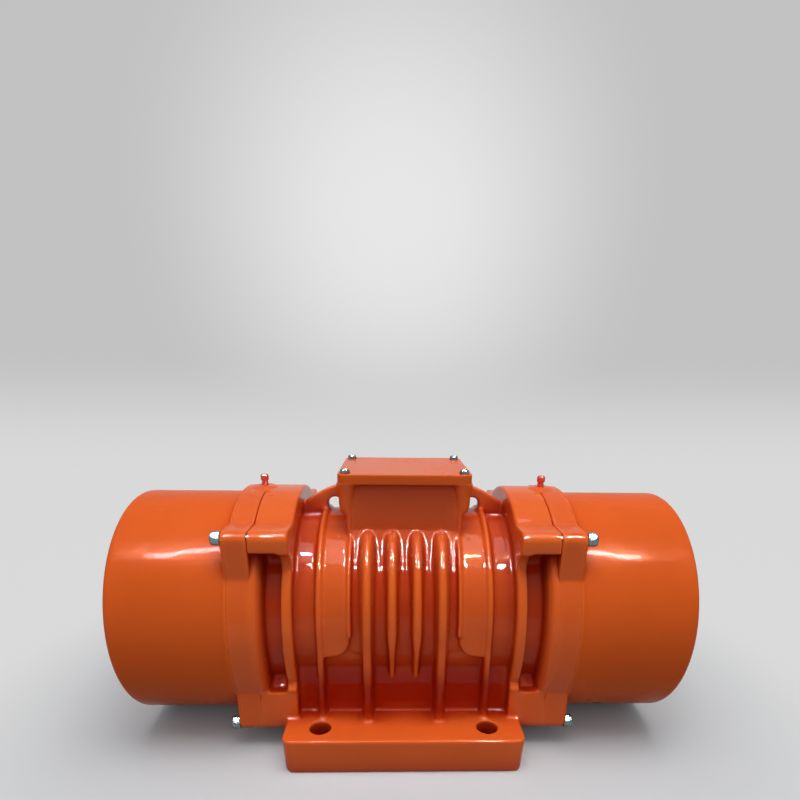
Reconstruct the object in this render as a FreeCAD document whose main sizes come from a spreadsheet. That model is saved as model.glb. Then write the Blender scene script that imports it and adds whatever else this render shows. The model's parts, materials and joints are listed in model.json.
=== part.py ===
"""Unbalance vibration motor: cast casing on a four-hole foot, a squirrel-cage motor
inside, and a pair of eccentric weights on each shaft end under a drawn steel cover.

Lengths are in millimetres. The shaft lies along X, the foot faces down, and the origin is
the centre of the foot's underside. Every sub-part is drawn about the shaft's centre line
and lifted to it by its Placement. The left-hand end is the right-hand end turned half
round about Z.
"""
import FreeCAD, Part
import math
import os
import Sketcher

SIZES = {
    # Casing barrel, foot and pedestal
    "axis_height": 118.0,
    "casing_end": 131.0,
    "barrel_radius": 92.0,
    "bore_radius": 78.0,
    "barrel_wall_root": 5.0,
    "foot_length": 214.0,
    "foot_width": 268.0,
    "foot_thickness": 34.0,
    "foot_corner": 9.0,
    "foot_hole_radius": 11.0,
    "foot_hole_x": 77.5,
    "foot_hole_y": 112.5,
    "pedestal_width": 170.0,
    "pedestal_height": 53.0,
    "relief_length": 176.0,
    "relief_width": 130.0,
    "relief_depth": 22.0,
    # End blocks of the casing, with a cast pocket in each side
    "block_inner": 99.5,
    "pocket_inner": 108.5,
    "pocket_top": 80.0,
    "pocket_bottom": -56.0,
    "pocket_corner": 9.0,
    "pocket_lift": 1.0,
    "end_rib_radius": 106.0,
    # Cooling ribs
    "rib_pitch": 22.5,
    "rib_radius": 105.0,
    "rib_base": 15.0,
    "rib_crest": 7.5,
    "rib_crown": 0.3,
    "rib_root": 64.0,
    "rib_tip_radius": 59.0,
    "ring_rib_x": 77.0,
    "ring_rib_radius": 99.0,
    "ring_rib_base": 9.0,
    "ring_rib_crest": 5.5,
    "panel_inner": 50.0,
    "panel_radius": 95.5,
    "panel_drop": 20.0,
    "edge_rib_radius": 98.5,
    "edge_rib_base": 6.5,
    "edge_rib_crest": 3.5,
    # Flanges and their screws
    "flange_thickness": 21.0,
    "corner_screw_offset": 91.5,
    "corner_land": 7.0,
    "corner_radius": 9.0,
    "side_lip": 1.5,
    "dome_rise": 6.5,
    "corner_screw_radius": 4.0,
    "corner_screw_grip": 22.0,
    "cap_head_height": 8.0,
    "flange_bolt_radius": 5.0,
    "flange_bolt_circle": 85.0,
    "flange_bolt_grip": 16.0,
    "hex_head_height": 6.4,
    "spigot_length": 6.0,
    "hub_radius": 57.0,
    "hub_height": 6.0,
    "nipple_x": 140.5,
    "nipple_radius": 3.9,
    "nipple_height": 12.5,
    "nipple_collar": 7.5,
    "nipple_head_radius": 3.1,
    "grease_duct_radius": 2.5,
    # Weight cover
    "cover_radius": 112.0,
    "cover_wall": 3.5,
    "cover_depth": 104.0,
    "cover_flange": 4.0,
    "cover_corner": 5.0,
    "seal_section": 2.4,
    # Bearing
    "bearing_bore": 20.0,
    "bearing_outside": 45.0,
    "bearing_width": 23.0,
    "roller_radius": 6.0,
    "inner_race": 26.5,
    "cage_thickness": 4.0,
    "cage_rim": 2.5,
    "web_bore": 31.0,
    # Outer grease cap, seal and spacer
    "cap_flange": 8.0,
    "cap_web": 0.9,
    "throat_gap": 1.0,
    "cap_screw_radius": 3.0,
    "cap_screw_circle": 50.5,
    "cap_screw_grip": 12.0,
    "cap_screw_head": 4.5,
    "seal_outside": 34.0,
    "spacer_outside": 26.0,
    # Shaft
    "shaft_core_radius": 25.0,
    "shaft_end_radius": 17.5,
    "shaft_tail": 8.0,
    "shaft_chamfer": 1.5,
    # Electrical core
    "core_length": 112.0,
    "stator_inside": 46.0,
    "air_gap": 0.5,
    "slot_depth": 19.0,
    "slot_width": 6.0,
    "slot_mouth": 2.5,
    "winding_overhang": 22.0,
    "winding_inside": 50.0,
    "winding_outside": 70.0,
    "cage_ring_width": 11.0,
    "cage_ring_inner": 2.0,
    "cage_ring_outer": 1.0,
    "rotor_bar_radius": 37.5,
    "rotor_bar_height": 9.0,
    "rotor_bar_width": 4.5,
    # Eccentric weights
    "weight_radius": 97.0,
    "weight_hub_radius": 34.0,
    "weight_shoulder": 8.0,
    "fixed_weight_width": 30.0,
    "free_weight_width": 27.0,
    "weight_gap": 2.5,
    "scale_thickness": 2.0,
    "scale_radius": 60.0,
    "key_width": 10.0,
    "key_height": 8.0,
    "key_length": 24.0,
    "key_proud": 3.0,
    "key_setback": 3.0,
    "ear_half": 15.0,
    "ear_height": 57.0,
    "slit_width": 3.0,
    "clamp_height": 44.0,
    "clamp_radius": 5.0,
    "washer_thickness": 3.0,
    "washer_radius": 27.0,
    "circlip_width": 2.5,
    "circlip_depth": 1.5,
    # Terminal box
    "box_half_x": 54.0,
    "box_half_y": 51.0,
    "box_wall": 8.5,
    "box_floor": 100.0,
    "box_top": 133.0,
    "rim_height": 5.5,
    "rim_over_x": 7.0,
    "rim_over_y": 4.0,
    "rim_corner": 9.0,
    "gasket_thickness": 1.0,
    "lid_thickness": 6.0,
    "lid_screw_x": 54.0,
    "lid_screw_y": 45.0,
    "lid_screw_radius": 2.5,
    "lid_screw_grip": 14.0,
    "lid_counterbore": 1.6,
    "column_radius": 9.0,
    "column_foot_radius": 5.0,
    "column_height": 15.0,
    "lead_hole_radius": 8.0,
    "lead_hole_gap": 2.0,
    # Terminals and cable gland
    "terminal_length": 62.0,
    "terminal_width": 34.0,
    "terminal_height": 10.0,
    "stud_radius": 2.5,
    "stud_height": 13.0,
    "stud_pitch_x": 20.0,
    "stud_pitch_y": 16.0,
    "gland_height": 111.5,
    "gland_thread_radius": 10.0,
    "gland_flats": 26.0,
    "gland_hex_length": 6.0,
    "gland_body_length": 8.0,
    "gland_nut_length": 19.0,
    "gland_bore": 7.0,
    # Lifting webs
    "web_thickness": 12.0,
    "web_hole_x": 68.0,
    "web_hole_z": 103.0,
    "web_hole_radius": 6.75,
    "web_high": 121.5,
    "web_low": 103.0,
    "web_arc_start": 64.0,
    "web_arc_radius": 95.0,
    # Clearances
    "running": 0.04,
    "seat": 0.02,
    "axial_play": 0.3,
    "bolt_clearance": 0.5,
    "slot_liner": 0.3,
    "tap_clearance": 2.0,
    "thread_end": 2.0,
    "overcut": 1.0,
}
# Fastener proportions: each is a multiple of the thread's radius
CAP_HEAD = 1.7
CAP_KEY = 1.6
HEX_FLATS = 3.2
HEX_HEAD = 1.28
HEX_NUT = 1.6
ROLLERS = 12
STATOR_SLOTS = 24
ROTOR_BARS = 20
SIDES = ("left", "right")

doc = FreeCAD.newDocument("VibrationMotor")
sheet = doc.addObject("Spreadsheet::Sheet", "Sizes")
for row, (alias, number) in enumerate(SIZES.items(), start=1):
    sheet.set(f"A{row}", alias.replace("_", " "))
    sheet.set(f"B{row}", str(number))
    sheet.setAlias(f"B{row}", alias)
doc.recompute()


class Size:
    """A length that carries its number and the sheet expression that it comes from."""

    def __init__(self, text, number):
        self.text = text
        self.number = number

    def __add__(self, other):
        return Size(f"({self.text} + {text_of(other)})", self.number + number_of(other))

    def __radd__(self, other):
        return Size(f"({text_of(other)} + {self.text})", number_of(other) + self.number)

    def __sub__(self, other):
        return Size(f"({self.text} - {text_of(other)})", self.number - number_of(other))

    def __rsub__(self, other):
        return Size(f"({text_of(other)} - {self.text})", number_of(other) - self.number)

    def __mul__(self, other):
        return Size(f"({self.text} * {text_of(other)})", self.number * number_of(other))

    def __rmul__(self, other):
        return Size(f"({text_of(other)} * {self.text})", number_of(other) * self.number)

    def __truediv__(self, other):
        return Size(f"({self.text} / {text_of(other)})", self.number / number_of(other))

    def __neg__(self):
        return Size(f"(0 - {self.text})", -self.number)


class Sheet:
    """The spreadsheet's cells as Size values, read as attributes."""

    def __getattr__(self, alias):
        return Size(f"Sizes.{alias}", float(sheet.get(alias)))


def text_of(value):
    return value.text if isinstance(value, Size) else f"({float(value)!r})"


def number_of(value):
    return value.number if isinstance(value, Size) else float(value)


def leg(hypotenuse, side):
    """The other short side of a right triangle."""
    text = f"sqrt({text_of(hypotenuse)}^2 - {text_of(side)}^2)"
    return Size(text, math.sqrt(number_of(hypotenuse) ** 2 - number_of(side) ** 2))


s = Sheet()


# --- Bodies, sketches and features ------------------------------------------------------

def new_body(label, side=None):
    """A body lifted to the shaft's height, and turned half round if it is a left-hand one."""
    body = doc.addObject("PartDesign::Body", label)
    body.Label = label
    body.AllowCompound = True
    turn = 180.0 if side == "left" else 0.0
    height = FreeCAD.Vector(0, 0, s.axis_height.number)
    body.Placement = FreeCAD.Placement(height, FreeCAD.Rotation(FreeCAD.Vector(0, 0, 1), turn))
    body.setExpression("Placement.Base.z", s.axis_height.text)
    return body


def origin_item(body, role):
    return [item for item in body.Origin.OriginFeatures if item.Role == role][0]


def new_sketch(body, plane, lift=0.0):
    """An empty sketch on one of the body's own origin planes, raised along its normal."""
    sketch = body.newObject("Sketcher::SketchObject", "Sketch")
    sketch.AttachmentSupport = [(origin_item(body, plane), "")]
    sketch.MapMode = "FlatFace"
    if isinstance(lift, Size):
        sketch.setExpression("AttachmentOffset.Base.z", lift.text)
    return sketch


def place_point(sketch, edge, end, u, v):
    """Hold a point of the sketch at (u, v), measured from the sketch's origin."""
    for kind, value, axis in (("DistanceX", u, -2), ("DistanceY", v, -1)):
        number = number_of(value)
        if number == 0:
            sketch.addConstraint(Sketcher.Constraint("PointOnObject", edge, end, axis))
            continue
        index = sketch.addConstraint(Sketcher.Constraint(kind, -1, 1, edge, end, number))
        if isinstance(value, Size):
            sketch.setExpression(f"Constraints[{index}]", value.text)


def set_radius(sketch, edge, radius):
    index = sketch.addConstraint(Sketcher.Constraint("Radius", edge, number_of(radius)))
    if isinstance(radius, Size):
        sketch.setExpression(f"Constraints[{index}]", radius.text)


def short_arc(start, end, radius):
    """The arc under half a turn from start to end: to the left of the chord if the radius
    is positive, which runs anticlockwise, and to its right if it is negative."""
    middle = (start + end) * 0.5
    chord = end - start
    rise = math.sqrt(max(radius * radius - chord.Length ** 2 / 4, 0.0))
    across = FreeCAD.Vector(-chord.y, chord.x, 0).normalize()
    centre = middle + across * math.copysign(rise, radius)
    if radius < 0:
        start, end = end, start
    first = math.atan2(start.y - centre.y, start.x - centre.x)
    last = math.atan2(end.y - centre.y, end.x - centre.x)
    circle = Part.Circle(centre, FreeCAD.Vector(0, 0, 1), abs(radius))
    return Part.ArcOfCircle(circle, first, last)


def add_outline(sketch, corners):
    """A closed outline. A corner is (u, v), or (u, v, radius) where an arc follows it."""
    spots = [FreeCAD.Vector(number_of(c[0]), number_of(c[1]), 0) for c in corners]
    starts = []
    for index, corner in enumerate(corners):
        start = spots[index]
        end = spots[(index + 1) % len(spots)]
        if len(corner) == 3:
            radius = number_of(corner[2])
            edge = sketch.addGeometry(short_arc(start, end, radius))
            set_radius(sketch, edge, corner[2] if radius > 0 else -corner[2])
            starts.append((edge, 1 if radius > 0 else 2))
        else:
            edge = sketch.addGeometry(Part.LineSegment(start, end))
            starts.append((edge, 1))
    for index, corner in enumerate(corners):
        edge, end = starts[index]
        before, before_start = starts[index - 1]
        sketch.addConstraint(Sketcher.Constraint("Coincident", before, 3 - before_start, edge, end))
        place_point(sketch, edge, end, corner[0], corner[1])


def add_circle(sketch, radius, u=0.0, v=0.0):
    spot = FreeCAD.Vector(number_of(u), number_of(v), 0)
    circle = Part.Circle(spot, FreeCAD.Vector(0, 0, 1), number_of(radius))
    edge = sketch.addGeometry(circle)
    set_radius(sketch, edge, radius)
    place_point(sketch, edge, 3, u, v)


def add_rectangle(sketch, low_u, low_v, high_u, high_v):
    add_outline(sketch, [(low_u, low_v), (high_u, low_v), (high_u, high_v), (low_u, high_v)])


def add_rounded(sketch, half_u, half_v, corner, middle_v=0.0):
    """A rectangle with round corners, centred on the sketch's vertical axis."""
    low = middle_v - half_v
    high = middle_v + half_v
    inner = half_u - corner
    add_outline(sketch, [
        (-inner, low), (inner, low, corner), (half_u, low + corner), (half_u, high - corner, corner),
        (inner, high), (-inner, high, corner), (-half_u, high - corner), (-half_u, low + corner, corner),
    ])


def add_hexagon(sketch, flats, u=0.0, v=0.0):
    """A hexagon of a given width across flats, with corners on the sketch's horizontal."""
    reach = flats / math.sqrt(3)
    half = flats / 2
    add_outline(sketch, [
        (u + reach, v), (u + reach / 2, v + half), (u - reach / 2, v + half),
        (u - reach, v), (u - reach / 2, v - half), (u + reach / 2, v - half),
    ])


def solid_volume(body):
    doc.recompute()
    return body.Shape.Volume


def pad(body, sketch, length):
    """Raise the sketch along its normal."""
    feature = body.newObject("PartDesign::Pad", "Pad")
    feature.Profile = sketch
    feature.Length = number_of(length)
    if isinstance(length, Size):
        feature.setExpression("Length", length.text)
    feature.Refine = False
    doc.recompute()
    return feature


def pocket(body, sketch, depth):
    """Cut the sketch into the solid along its normal."""
    before = solid_volume(body)
    feature = body.newObject("PartDesign::Pocket", "Pocket")
    feature.Profile = sketch
    feature.Length = number_of(depth)
    if isinstance(depth, Size):
        feature.setExpression("Length", depth.text)
    feature.Reversed = True
    feature.Refine = False
    if not solid_volume(body) < before:
        raise RuntimeError(f"{feature.Name} of {body.Label} cuts nothing")
    return feature


def repeat_round(body, feature, count):
    """Repeat a feature evenly round the shaft."""
    pattern = body.newObject("PartDesign::PolarPattern", "PolarPattern")
    pattern.Originals = [feature]
    pattern.Axis = (origin_item(body, "X_Axis"), [""])
    pattern.Angle = 360.0
    pattern.Occurrences = count
    pattern.Refine = False
    body.Tip = pattern
    doc.recompute()
    return pattern


def turn(body, sketch, angle=360.0, reverse=False, axis="H_Axis"):
    """Revolve the sketch about its horizontal axis, or about one of its own lines."""
    feature = body.newObject("PartDesign::Revolution", "Revolution")
    feature.Profile = sketch
    feature.ReferenceAxis = (sketch, [axis])
    feature.Angle = angle
    feature.Reversed = reverse
    feature.Refine = False
    doc.recompute()
    return feature


def turned_body(label, side, *outlines):
    """A body turned about the shaft's axis from half outlines in (x, radius)."""
    body = new_body(label, side)
    sketch = new_sketch(body, "XZ_Plane")
    for corners in outlines:
        add_outline(sketch, corners)
    turn(body, sketch)
    return body


def ring(label, side, x_low, x_high, r_low, r_high):
    corners = [(x_low, r_low), (x_high, r_low), (x_high, r_high), (x_low, r_high)]
    return turned_body(label, side, corners)


def ring_spots(count, radius, start=0.0):
    """Points evenly round a circle, the first at the start angle in degrees."""
    angles = [math.radians(start + 360.0 * step / count) for step in range(count)]
    return [(radius * round(math.cos(a), 9), radius * round(math.sin(a), 9)) for a in angles]


def four_spots(u, v):
    return [(side_u * u, side_v * v) for side_u in (-1, 1) for side_v in (-1, 1)]


# --- Places along the shaft, from the casing's end outward --------------------------------

flange_face = s.casing_end + s.flange_thickness
cover_face = flange_face + s.cover_flange
cover_end = cover_face + s.cover_depth
bearing_end = s.casing_end + s.bearing_width
hub_face = flange_face + s.hub_height
cap_face = hub_face + s.cap_flange
spacer_end = cap_face + s.cap_screw_head + s.weight_gap
fixed_weight_end = spacer_end + s.fixed_weight_width
scale_face = fixed_weight_end + s.scale_thickness
free_weight_end = scale_face + s.axial_play + s.free_weight_width
washer_start = free_weight_end + s.axial_play
circlip_start = washer_start + s.washer_thickness
shaft_end = circlip_start + s.circlip_width + s.shaft_tail
foot_top = s.foot_thickness - s.axis_height
flange_half = s.corner_screw_offset + s.corner_land
side_radius = s.cover_radius + s.side_lip
dome_radius = s.cover_radius + s.dome_rise
lid_base = s.box_top + s.gasket_thickness
lid_top = lid_base + s.lid_thickness
CORNERS = four_spots(s.corner_screw_offset, s.corner_screw_offset)
FLANGE_BOLTS = ring_spots(6, s.flange_bolt_circle, 30.0)
CAP_SCREWS = ring_spots(4, s.cap_screw_circle, 45.0)


def add_flange_outline(sketch):
    """The square flange with its four screw corners, sides that bulge round the cover and
    a dome on top for the grease nipple."""
    half = flange_half
    corner = s.corner_radius
    inner = half - corner
    side = leg(side_radius, half)
    dome = leg(dome_radius, half)
    add_outline(sketch, [
        (-side, -half, side_radius), (side, -half), (inner, -half, corner), (half, -inner),
        (half, -side, side_radius), (half, side), (half, inner, corner), (inner, half),
        (dome, half, dome_radius), (-dome, half), (-inner, half, corner), (-half, inner),
        (-half, side, side_radius), (-half, -side), (-half, -inner, corner), (-inner, -half),
    ])


# --- Casing --------------------------------------------------------------------------------

def add_bell(sketch, middle, base, crest, low, high, face):
    """The section of a cast rib: drafted flanks and a round crest. Low and high are
    distances from the sketch's horizontal axis, and face is the side of it, 1 or -1."""
    rise = crest * s.rib_crown
    shoulder = high - rise
    crown = (crest * crest / 8) / rise + rise / 2
    corners = [
        (middle + base / 2, face * low), (middle + crest / 2, face * shoulder, face * crown),
        (middle - crest / 2, face * shoulder), (middle - base / 2, face * low),
    ]
    add_outline(sketch, corners)


def pocket_outlines(sketch, inner_radius):
    """The two side pockets of an end block, outside a circle about the shaft."""
    out = 2 * flange_half
    top = s.pocket_top
    bottom = s.pocket_bottom
    corner = s.pocket_corner
    for face in (-1, 1):
        top_y = leg(inner_radius, top - 2 * corner)
        low_y = leg(inner_radius, bottom + corner)
        add_outline(sketch, [
            (face * out, top), (face * (top_y + 2 * corner), top, face * 2 * corner),
            (face * top_y, top - 2 * corner, -face * inner_radius), (face * low_y, bottom + corner),
            (face * (low_y + corner), bottom), (face * out, bottom),
        ])


def make_casing():
    body = new_body("casing")
    make_barrel(body)
    make_end_blocks(body)
    make_foot(body)
    make_ribs(body)
    make_pedestal_top(body)
    make_casing_cuts(body)
    return body


def make_barrel(body):
    sketch = new_sketch(body, "YZ_Plane", -s.casing_end)
    add_circle(sketch, s.barrel_radius)
    pad(body, sketch, 2 * s.casing_end)


def make_end_blocks(body):
    block = s.casing_end - s.block_inner
    for start in (s.block_inner, -s.casing_end):
        sketch = new_sketch(body, "YZ_Plane", start)
        add_flange_outline(sketch)
        pad(body, sketch, block)
    open_length = s.casing_end - s.pocket_inner
    for start in (s.pocket_inner, -s.casing_end):
        sketch = new_sketch(body, "YZ_Plane", start)
        pocket_outlines(sketch, s.barrel_radius + s.pocket_lift)
        pocket(body, sketch, open_length)
    rib_width = s.pocket_inner - s.block_inner
    for start in (s.block_inner, -s.pocket_inner):
        sketch = new_sketch(body, "YZ_Plane", start)
        pocket_outlines(sketch, s.end_rib_radius)
        pocket(body, sketch, rib_width)


def make_foot(body):
    sketch = new_sketch(body, "XY_Plane", -s.axis_height)
    add_rounded(sketch, s.foot_length / 2, s.foot_width / 2, s.foot_corner)
    pad(body, sketch, s.foot_thickness)
    sketch = new_sketch(body, "XY_Plane", foot_top)
    add_rounded(sketch, s.block_inner + s.foot_corner, s.pedestal_width / 2, s.foot_corner)
    pad(body, sketch, s.pedestal_height)


def make_ribs(body):
    inside = (s.bore_radius + s.barrel_radius) / 2
    # Ribs that run over the top and straight down to the foot
    long_ribs = [(side * 1.5 * s.rib_pitch, s.rib_base, s.rib_crest, s.rib_radius) for side in (-1, 1)]
    long_ribs += [(side * s.ring_rib_x, s.ring_rib_base, s.ring_rib_crest, s.ring_rib_radius)
                  for side in (-1, 1)]
    # Ribs that stop at the shaft's height, or curl into the barrel below it
    short_ribs = [(side * 0.5 * s.rib_pitch, s.rib_base, s.rib_crest, s.rib_radius) for side in (-1, 1)]
    edge_ribs = [(side * s.panel_inner, s.edge_rib_base, s.edge_rib_crest, s.edge_rib_radius)
                 for side in (-1, 1)]
    over_top = new_sketch(body, "XY_Plane")
    for middle, base, crest, radius in long_ribs + short_ribs + edge_ribs:
        add_bell(over_top, middle, base, crest, inside, radius, 1)
    turn(body, over_top, 180.0)
    panels = new_sketch(body, "XY_Plane")
    for side in (-1, 1):
        add_rectangle(panels, side * s.panel_inner, inside, side * s.ring_rib_x, s.panel_radius)
    turn(body, panels, 180.0)
    for face in (-1, 1):
        webs = new_sketch(body, "XY_Plane", foot_top)
        for middle, base, crest, radius in long_ribs:
            add_bell(webs, middle, base, crest, s.rib_root, radius, face)
        pad(body, webs, -foot_top)
        skirts = new_sketch(body, "XY_Plane", -s.panel_drop)
        for side in (-1, 1):
            low, high = sorted((side * s.panel_inner, side * s.ring_rib_x), key=number_of)
            near, far = sorted((face * inside, face * s.panel_radius), key=number_of)
            add_rectangle(skirts, low, near, high, far)
        pad(body, skirts, s.panel_drop)
        make_rib_tips(body, short_ribs, face)


def make_rib_tips(body, ribs, face):
    """Below the shaft's height the middle ribs follow a smaller circle into the barrel."""
    tips = new_sketch(body, "XY_Plane")
    hinge_y = face * (s.rib_radius - s.rib_tip_radius)
    reach = s.rib_base
    axis = tips.addGeometry(Part.LineSegment(
        FreeCAD.Vector(-reach.number, hinge_y.number, 0),
        FreeCAD.Vector(reach.number, hinge_y.number, 0)), True)
    place_point(tips, axis, 1, -reach, hinge_y)
    place_point(tips, axis, 2, reach, hinge_y)
    for middle, base, crest, radius in ribs:
        add_bell(tips, middle, base, crest, (s.bore_radius + s.barrel_radius) / 2, radius, face)
    turn(body, tips, 90.0, reverse=face > 0, axis="Axis0")


def make_pedestal_top(body):
    """The flat seat of the terminal box, with the ribs cleared away above it."""
    base = s.bore_radius + s.barrel_wall_root
    sketch = new_sketch(body, "XY_Plane", base)
    add_rounded(sketch, s.box_half_x, s.box_half_y, s.rim_corner / 2)
    pad(body, sketch, s.box_floor - base)
    sketch = new_sketch(body, "XY_Plane", s.box_floor)
    add_rounded(sketch, s.box_half_x, s.box_half_y, s.rim_corner / 2)
    pocket(body, sketch, s.box_top - s.box_floor)


def make_terminal_box():
    """The cast walls round the terminals, with a rim for the lid and tapered screw columns."""
    body = new_body("terminal_box")
    sketch = new_sketch(body, "XY_Plane", s.box_floor)
    add_rounded(sketch, s.box_half_x, s.box_half_y, s.rim_corner / 2)
    pad(body, sketch, s.box_top - s.box_floor)
    sketch = new_sketch(body, "XY_Plane", s.box_top - s.rim_height)
    add_rounded(sketch, s.box_half_x + s.rim_over_x, s.box_half_y + s.rim_over_y, s.rim_corner)
    pad(body, sketch, s.rim_height)
    for u, v in four_spots(s.lid_screw_x, s.lid_screw_y):
        add_column(body, u, v)
    sketch = new_sketch(body, "XY_Plane", s.box_floor)
    add_rounded(sketch, s.box_half_x - s.box_wall, s.box_half_y - s.box_wall, s.rim_corner / 2)
    pocket(body, sketch, s.box_top - s.box_floor)
    sketch = new_sketch(body, "XY_Plane", s.box_top - s.lid_screw_grip)
    for u, v in four_spots(s.lid_screw_x, s.lid_screw_y):
        add_circle(sketch, s.lid_screw_radius + s.seat, u, v)
    pocket(body, sketch, s.lid_screw_grip)
    # Gland hole in the rear wall
    sketch = new_sketch(body, "XZ_Plane", -s.box_half_y)
    add_circle(sketch, s.gland_thread_radius + s.seat, 0.0, s.gland_height)
    pocket(body, sketch, s.box_wall)
    return body


def add_column(body, u, v):
    """A cone under the rim that carries a lid screw and tapers away down the wall."""
    high = s.box_top - s.rim_height / 2
    low = s.box_top - s.rim_height - s.column_height
    sketch = new_sketch(body, "XZ_Plane", -v)
    axis = sketch.addGeometry(Part.LineSegment(
        FreeCAD.Vector(number_of(u), low.number, 0), FreeCAD.Vector(number_of(u), high.number, 0)), True)
    place_point(sketch, axis, 1, u, low)
    place_point(sketch, axis, 2, u, high)
    add_outline(sketch, [(u, low), (u + s.column_foot_radius, low), (u + s.column_radius, high), (u, high)])
    turn(body, sketch, axis="Axis0")


def make_lifting_web(side, casing):
    """The web between the terminal box and the end block, cut to fit on barrel and ribs."""
    blank = new_body(f"web_blank_{side}", side)
    base = s.bore_radius + s.barrel_wall_root
    outer = s.block_inner
    sketch = new_sketch(blank, "XZ_Plane", -s.web_thickness / 2)
    add_outline(sketch, [
        (s.box_half_x, base), (outer, base), (outer, s.web_low, s.web_arc_radius),
        (s.web_arc_start, s.web_high), (s.box_half_x, s.web_high),
    ])
    pad(blank, sketch, s.web_thickness)
    sketch = new_sketch(blank, "XZ_Plane", -s.web_thickness / 2)
    add_circle(sketch, s.web_hole_radius, s.web_hole_x, s.web_hole_z)
    pocket(blank, sketch, s.web_thickness)
    web = doc.addObject("Part::Cut", f"lifting_web_{side}")
    web.Label = f"lifting_web_{side}"
    web.Base = blank
    web.Tool = casing
    web.Refine = False
    doc.recompute()
    return web


def make_casing_cuts(body):
    # Motor bore, right through
    sketch = new_sketch(body, "YZ_Plane", -s.casing_end)
    add_circle(sketch, s.bore_radius)
    pocket(body, sketch, 2 * s.casing_end)
    # Tapped holes in both ends
    for start, depth in ((s.casing_end - s.corner_screw_grip, s.corner_screw_grip),
                         (-s.casing_end, s.corner_screw_grip)):
        sketch = new_sketch(body, "YZ_Plane", start)
        for u, v in CORNERS:
            add_circle(sketch, s.corner_screw_radius + s.seat, u, v)
        pocket(body, sketch, depth)
    for start in (s.casing_end - s.flange_bolt_grip, -s.casing_end):
        sketch = new_sketch(body, "YZ_Plane", start)
        for u, v in FLANGE_BOLTS:
            add_circle(sketch, s.flange_bolt_radius + s.seat, u, v)
        pocket(body, sketch, s.flange_bolt_grip)
    # Foot holes and the relief under the foot
    sketch = new_sketch(body, "XY_Plane", -s.axis_height)
    for u, v in four_spots(s.foot_hole_x, s.foot_hole_y):
        add_circle(sketch, s.foot_hole_radius, u, v)
    pocket(body, sketch, s.foot_thickness)
    sketch = new_sketch(body, "XY_Plane", -s.axis_height)
    add_rounded(sketch, s.relief_length / 2, s.relief_width / 2, s.foot_corner)
    pocket(body, sketch, s.relief_depth)
    # Lead hole from the terminal box down to the winding
    lead_start = s.bore_radius - s.lead_hole_radius
    sketch = new_sketch(body, "XY_Plane", lead_start)
    add_circle(sketch, s.lead_hole_radius, 0.0, s.terminal_width / 2 + s.lead_hole_radius + s.lead_hole_gap)
    pocket(body, sketch, s.box_floor - lead_start)


# --- Flanges, covers and their fastenings ----------------------------------------------------

def add_cap_screws(body, spots, start, shank, shank_length, head, head_height, key, plane="YZ_Plane"):
    """Socket head screws along the plane's normal. Start is where the shanks begin."""
    sketch = new_sketch(body, plane, start)
    for u, v in spots:
        add_circle(sketch, shank, u, v)
    pad(body, sketch, shank_length)
    sketch = new_sketch(body, plane, start + shank_length)
    for u, v in spots:
        add_circle(sketch, head, u, v)
    pad(body, sketch, head_height)
    sketch = new_sketch(body, plane, start + shank_length + head_height / 2)
    for u, v in spots:
        add_hexagon(sketch, key, u, v)
    pocket(body, sketch, head_height / 2)


def make_bearing_flange(side):
    body = new_body(f"bearing_flange_{side}", side)
    sketch = new_sketch(body, "YZ_Plane", s.casing_end)
    add_flange_outline(sketch)
    pad(body, sketch, s.flange_thickness)
    sketch = new_sketch(body, "XZ_Plane")
    spigot_x = s.casing_end - s.spigot_length
    middle = s.casing_end + s.flange_thickness / 2
    spigot_radius = s.bore_radius - s.running
    add_outline(sketch, [
        (spigot_x, s.web_bore), (middle, s.web_bore), (middle, spigot_radius), (spigot_x, spigot_radius),
    ])
    turn(body, sketch)
    sketch = new_sketch(body, "YZ_Plane", middle)
    add_circle(sketch, s.hub_radius)
    pad(body, sketch, hub_face - middle)
    sketch = new_sketch(body, "YZ_Plane", s.casing_end)
    add_circle(sketch, s.bearing_outside + s.seat)
    pocket(body, sketch, hub_face - s.casing_end)
    sketch = new_sketch(body, "YZ_Plane", s.casing_end)
    for u, v in CORNERS:
        add_circle(sketch, s.corner_screw_radius + s.bolt_clearance, u, v)
    for u, v in FLANGE_BOLTS:
        add_circle(sketch, s.flange_bolt_radius + s.bolt_clearance, u, v)
    pocket(body, sketch, s.flange_thickness)
    sketch = new_sketch(body, "YZ_Plane", hub_face - s.cap_screw_grip)
    for u, v in CAP_SCREWS:
        add_circle(sketch, s.cap_screw_radius + s.seat, u, v)
    pocket(body, sketch, s.cap_screw_grip)
    # Seal groove behind the cover's flange
    groove_low = s.cover_radius - s.cover_wall + s.running
    sketch = new_sketch(body, "YZ_Plane", flange_face - s.seal_section)
    add_circle(sketch, groove_low + s.seal_section)
    add_circle(sketch, groove_low)
    pocket(body, sketch, s.seal_section)
    # Grease duct from the nipple down to the bearing
    duct_floor = s.bearing_outside - s.grease_duct_radius
    sketch = new_sketch(body, "XY_Plane", duct_floor)
    add_circle(sketch, s.grease_duct_radius, s.nipple_x, 0.0)
    pocket(body, sketch, dome_radius - duct_floor)
    return body


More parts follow.
